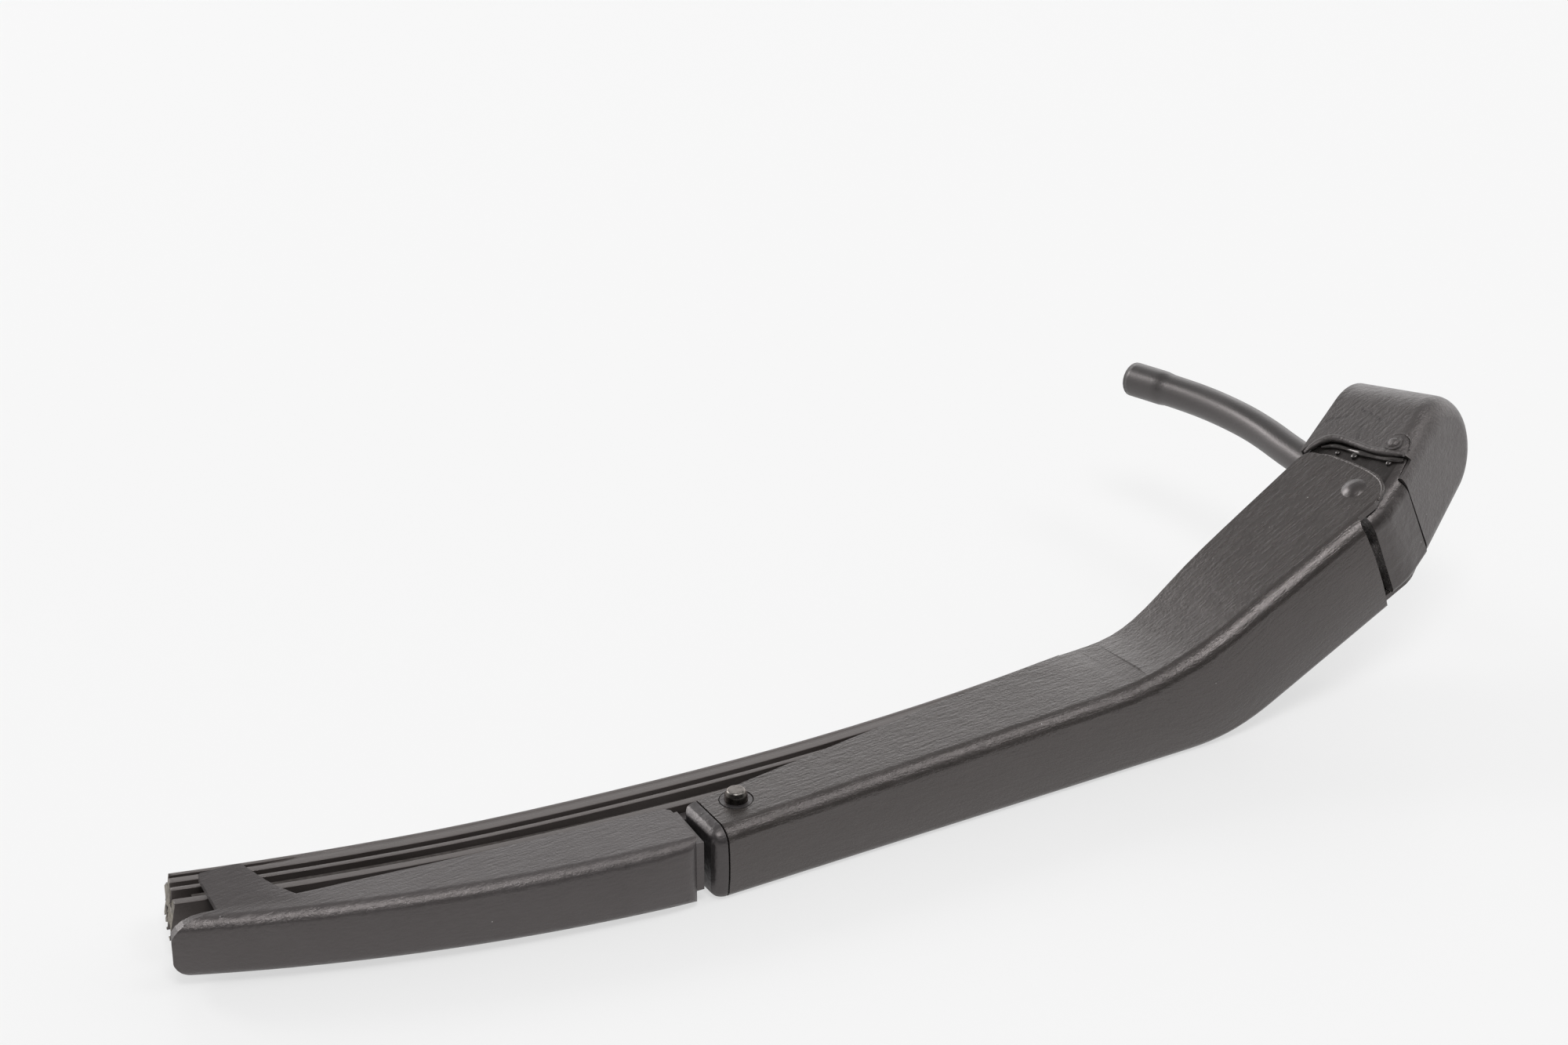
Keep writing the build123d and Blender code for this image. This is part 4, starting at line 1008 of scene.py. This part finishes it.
def blade_bow():
    """The carrier with a rounded nose, soft ends, a swollen outer face and a raised claw."""
    work = merged_solid("blade_carrier")
    round_nose(work)
    nose = []
    end = []
    for edge in sharp_edges(work):
        ends = [bow_place(point.co) for point in edge.verts]
        if all(along < NOSE_SPAN - NOSE_REACH and behind < NOSE_FRONT for along, behind, level in ends):
            nose.append(edge)
        elif edge.is_convex and on_bow_end(ends):
            end.append(edge)
    round_edges(work, nose, NOSE_EDGE, NOSE_STEPS)
    round_edges(work, [edge for edge in end if edge.is_valid], BOW_END_EDGE, NOSE_STEPS)
    round_edges(work, sharp_edges(work), MOULD_EDGE)
    round_bow_corner(work)
    slice_faces(work, [on_blade(along, 0, 0) for along in BOW_SLICES], BLADE_DIR, on_bow)
    slice_faces(work, [on_blade(0, 0, level) for level in BOW_LEVELS], UP, on_bow_front)
    valley = on_blade(*CLAW_VALLEY, 0)
    slice_faces(work, [valley + CLAW_DIR * (cut * MM) for cut in CLAW_CUTS], CLAW_DIR, on_claw)
    for point in work.verts:
        along, behind, level = bow_place(point.co)
        if along < -BOW_END:
            low, high = bow_span(along)
            swell = bulge((level - low) / (high - low), high - low, behind)
            point.co -= BLADE_DEPTH * (swell * smooth((-along - BOW_END) / BOW_SWELL_RUN) * MM)
            if on_claw(point.co):
                raise_claw(point)
    replace_solid("blade_carrier", "blade_bow", work, "blade", "moulding", mould_black)


def finish_node(node, material):
    mesh = nodes[node].data
    mesh.materials.clear()
    mesh.materials.append(material)


def worn_rubber():
    """The ribbed rubber with soft edges, a closed groove and a torn, paler cut at its outer end."""
    work = softened("wiper_rubber", RUBBER_EDGE)
    end_dir = BLADE_DIR * RUBBER_END_DIR[0] + BLADE_DEPTH * RUBBER_END_DIR[1]
    furthest = max(vertex.co.dot(end_dir) for vertex in work.verts)
    for face in work.faces:
        close = furthest - face.calc_center_median().dot(end_dir) < RUBBER_END_SPAN
        face.material_index = 1 if close and face.normal.dot(end_dir) > RUBBER_END_FACING else 0
    draw = Random(RUBBER_SEED)
    for vertex in work.verts:
        if furthest - vertex.co.dot(end_dir) < RUBBER_END_SPAN:
            lean = (blade_pivot.z - vertex.co.z) * RUBBER_CUT_LEAN
            vertex.co += end_dir * (lean - draw.uniform(0, RUBBER_TEAR))
    slice_faces(work, [on_blade(along, 0, 0) for along in RUBBER_SLICES], BLADE_DIR, everywhere)
    axis = on_blade(0, RUBBER_FRONT + RUBBER_RADIUS, 0)
    for vertex in work.verts:
        along = (vertex.co - blade_pivot).dot(BLADE_DIR) / MM
        depth = RUBBER_RADIUS - (vertex.co - axis).xy.length / MM
        level = (vertex.co.z - blade_pivot.z) / MM
        if RUBBER_GROOVE[0] < depth < RUBBER_GROOVE[1] and 0 < level < RUBBER_GROOVE_FLOOR:
            closed = smooth((along - RUBBER_CLOSING[0]) / (RUBBER_CLOSING[1] - RUBBER_CLOSING[0]))
            vertex.co.z += (RUBBER_BAND - level) * closed * MM
        lifted = smooth((along - RUBBER_LIFT_SPAN[0]) / (RUBBER_LIFT_SPAN[1] - RUBBER_LIFT_SPAN[0]))
        vertex.co.z += RUBBER_LIFT * lifted
    replace_solid("wiper_rubber", "ribbed_rubber", work, "blade", "blade_rubber", blade_rubber, rubber_cut)


# Pieces that stand for solids, and the solids that stay
arm_pressing()
end_plug()
blade_bow()
worn_rubber()
head_casting()
replace_solid("nut_cover", "cover_cap", softened("nut_cover", PAINT_EDGE), "head", "cover", cover_paint)
replace_solid("blade_pin", "pin_stud", softened("blade_pin", PIN_EDGE), "arm", "steel", pin_steel)
for node in ("hinge_pin", "spring_anchor"):
    finish_node(node, head_paint)
for node in ("spring_pin", "tension_spring"):
    finish_node(node, dull_steel)
for node in ("flexor_upper", "flexor_lower"):
    finish_node(node, strip_steel)
for node in ("spray_jet", "hose_elbow", "washer_pipe"):
    finish_node(node, mould_black)


# Paint runs and drops at the cover's seam and along the ear
def paint_run(name, place, stops, radius, body, slot, material):
    """A rounded run of paint along a smooth line."""
    curve = bpy.data.curves.new(name, "CURVE")
    curve.dimensions = "3D"
    curve.bevel_depth = radius
    curve.bevel_resolution = RUN_ROUNDING
    curve.use_fill_caps = True
    spline = curve.splines.new("BEZIER")
    spline.bezier_points.add(len(stops) - 1)
    spline.resolution_u = RUN_STEPS
    for point, (along, depth, level, share) in zip(spline.bezier_points, stops):
        point.co = place(along, depth, level)
        point.radius = share
        point.handle_left_type = "AUTO"
        point.handle_right_type = "AUTO"
    line = bpy.data.objects.new(name, curve)
    scene.collection.objects.link(line)
    mesh = bpy.data.meshes.new_from_object(line)
    mesh.name = name
    bpy.data.objects.remove(line)
    shade(mesh)
    new_piece(name, mesh, body, slot, material)


def paint_drops(name, drops, slot, material):
    """Flat drops of paint on the head."""
    work = bmesh.new()
    turn = UP.rotation_difference(LIMB_UP).to_matrix()
    for along, depth, level, size in drops:
        around, up = DROP_STEPS
        ball = bmesh.ops.create_uvsphere(work, u_segments=around, v_segments=up, radius=size * MM)
        bmesh.ops.scale(work, verts=ball["verts"], vec=(1, 1, DROP_FLATTEN))
        bmesh.ops.rotate(work, verts=ball["verts"], cent=(0, 0, 0), matrix=turn)
        bmesh.ops.translate(work, verts=ball["verts"], vec=on_head(along, depth, level))
    new_piece(name, finished_mesh(work, name), "head", slot, material)


paint_run("seam_lip", on_head, SEAM_LIP, SEAM_LIP_RADIUS, "head", "cover", cover_paint)
paint_run("seam_pool", on_head, SEAM_POOL, SEAM_POOL_RADIUS, "head", "cast_head", wet_paint)
paint_run("nub_ridge", on_head, NUB_RIDGE, NUB_RIDGE_RADIUS, "head", "cover", cover_paint)
paint_run("ear_bead", on_limb, EAR_BEAD, EAR_BEAD_RADIUS, "arm", "arm_paint", arm_paint)
paint_drops("neck_drips", DRIPS, "cast_head", wet_paint)
paint_drops("cover_nub", (COVER_NUB,), "cover", cover_paint)


# Washer hose
def hose_curve():
    curve = bpy.data.curves.new("hose_line", "CURVE")
    curve.dimensions = "3D"
    spline = curve.splines.new("NURBS")
    spline.points.add(len(HOSE_ROUTE) - 1)
    for point, (along, depth) in zip(spline.points, HOSE_ROUTE):
        point.co = (*on_limb(along, depth, HOSE_LEVEL), 1)
    spline.order_u = 3
    spline.use_endpoint_u = True
    spline.resolution_u = HOSE_STEPS
    line = bpy.data.objects.new("hose_line", curve)
    scene.collection.objects.link(line)
    return line


def swell_end(mesh, end, before):
    """Widen the hose's last stretch, where it sat on a pipe."""
    back = (before - end).normalized()
    for vertex in mesh.vertices:
        reach = (vertex.co - end).dot(back)
        share = smooth((HOSE_SWELL_LENGTH + HOSE_SWELL_FADE - reach) / HOSE_SWELL_FADE)
        axis = end + back * reach
        vertex.co += (vertex.co - axis) * HOSE_SWELL * share


def washer_hose():
    line = hose_curve()
    path = [tuple(vertex.co) for vertex in bpy.data.meshes.new_from_object(line).vertices]
    line.data.bevel_depth = HOSE_DIAMETER / 2
    line.data.bevel_resolution = HOSE_ROUNDING
    mesh = bpy.data.meshes.new_from_object(line)
    mesh.name = "hose_tube"
    bpy.data.objects.remove(line)
    swell_end(mesh, Vector(path[-1]), Vector(path[-HOSE_END_POINTS]))
    shade(mesh)
    hose = new_piece("hose_tube", mesh, "arm", "hose_rubber", hose_rubber)
    wall = hose.modifiers.new("wall", "SOLIDIFY")
    wall.thickness = HOSE_WALL
    wall.offset = -1
    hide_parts("washer_hose")


washer_hose()


# Table, light and camera
def studio_table():
    work = bmesh.new()
    bmesh.ops.create_grid(work, x_segments=1, y_segments=1, size=TABLE_SIZE / 2)
    bmesh.ops.translate(work, verts=work.verts, vec=(0, 0, cad_low.z))
    mesh = bpy.data.meshes.new("table")
    work.to_mesh(mesh)
    work.free()
    table = bpy.data.objects.new("table", mesh)
    scene.collection.objects.link(table)
    material, tree, shader, vector = start_material("table_white", TABLE_ROUGHNESS, TABLE_SPECULAR)
    shader.inputs["Base Color"].default_value = TABLE_TONE
    shader.inputs["Specular Tint"].default_value = (1, 1, 1, 1)
    path = tree.nodes.new("ShaderNodeLightPath")
    near = add_range(tree, add_split(tree, vector)["Y"], *TABLE_FADE, TABLE_FAR_GLOW, 1)
    mirrored = add_math(tree, "MULTIPLY", path.outputs["Is Glossy Ray"], near)
    seen = add_math(tree, "MAXIMUM", path.outputs["Is Camera Ray"], mirrored)
    seen = add_math(tree, "MAXIMUM", seen, path.outputs["Is Transmission Ray"])
    glow = tree.nodes.new("ShaderNodeEmission")
    glow.inputs["Color"].default_value = TABLE_GLOW_TONE
    blend = tree.nodes.new("ShaderNodeMixShader")
    tree.links.new(add_math(tree, "MULTIPLY", seen, TABLE_GLOW), blend.inputs["Fac"])
    tree.links.new(shader.outputs["BSDF"], blend.inputs[1])
    tree.links.new(glow.outputs["Emission"], blend.inputs[2])
    tree.links.new(blend.outputs["Shader"], tree.nodes["Material Output"].inputs["Surface"])
    mesh.materials.append(material)


def studio_room():
    """A pale room, bright behind the part and dim in front and overhead."""
    world = bpy.data.worlds.new("studio")
    scene.world = world
    world.use_nodes = True
    tree = world.node_tree
    background = tree.nodes["Background"]
    background.inputs["Color"].default_value = (1, 1, 1, 1)
    way = tree.nodes.new("ShaderNodeTexCoord").outputs["Generated"]
    facing = add_vector_math(tree, "DOT_PRODUCT", way, BACK_DIR, "Value")
    level = tree.nodes.new("ShaderNodeMix")
    height = add_range(tree, add_split(tree, way)["Z"], *HORIZON_TO_ZENITH, 0, 1)
    around = add_range(tree, facing, *FRONT_TO_BACK, FRONT_LEVEL, BACK_LEVEL)
    tree.links.new(height, level.inputs["Factor"])
    tree.links.new(around, level.inputs["A"])
    level.inputs["B"].default_value = ZENITH_LEVEL
    tree.links.new(level.outputs["Result"], background.inputs["Strength"])


def studio_lamps():
    for name, place, size, brightness in SOFTBOXES:
        lamp = bpy.data.lights.new(name, "AREA")
        lamp.shape = "RECTANGLE"
        lamp.size, lamp.size_y = size
        lamp.energy = brightness * pi * size[0] * size[1]
        holder = bpy.data.objects.new(name, lamp)
        scene.collection.objects.link(holder)
        holder.location = place
        holder.rotation_mode = "QUATERNION"
        holder.rotation_quaternion = (STUDIO_AIM - place).to_track_quat("-Z", "Y")


def studio_camera():
    lens = bpy.data.cameras.new("camera")
    lens.lens = CAMERA_LENS
    lens.sensor_width = CAMERA_SENSOR
    lens.clip_start = CAMERA_NEAR
    camera = bpy.data.objects.new("camera", lens)
    scene.collection.objects.link(camera)
    camera.location = CAMERA_PLACE
    camera.rotation_mode = "QUATERNION"
    camera.rotation_quaternion = CAMERA_FORWARD.to_track_quat("-Z", "Y")
    scene.camera = camera


studio_table()
studio_room()
studio_lamps()
studio_camera()
scene.view_settings.view_transform = "Standard"
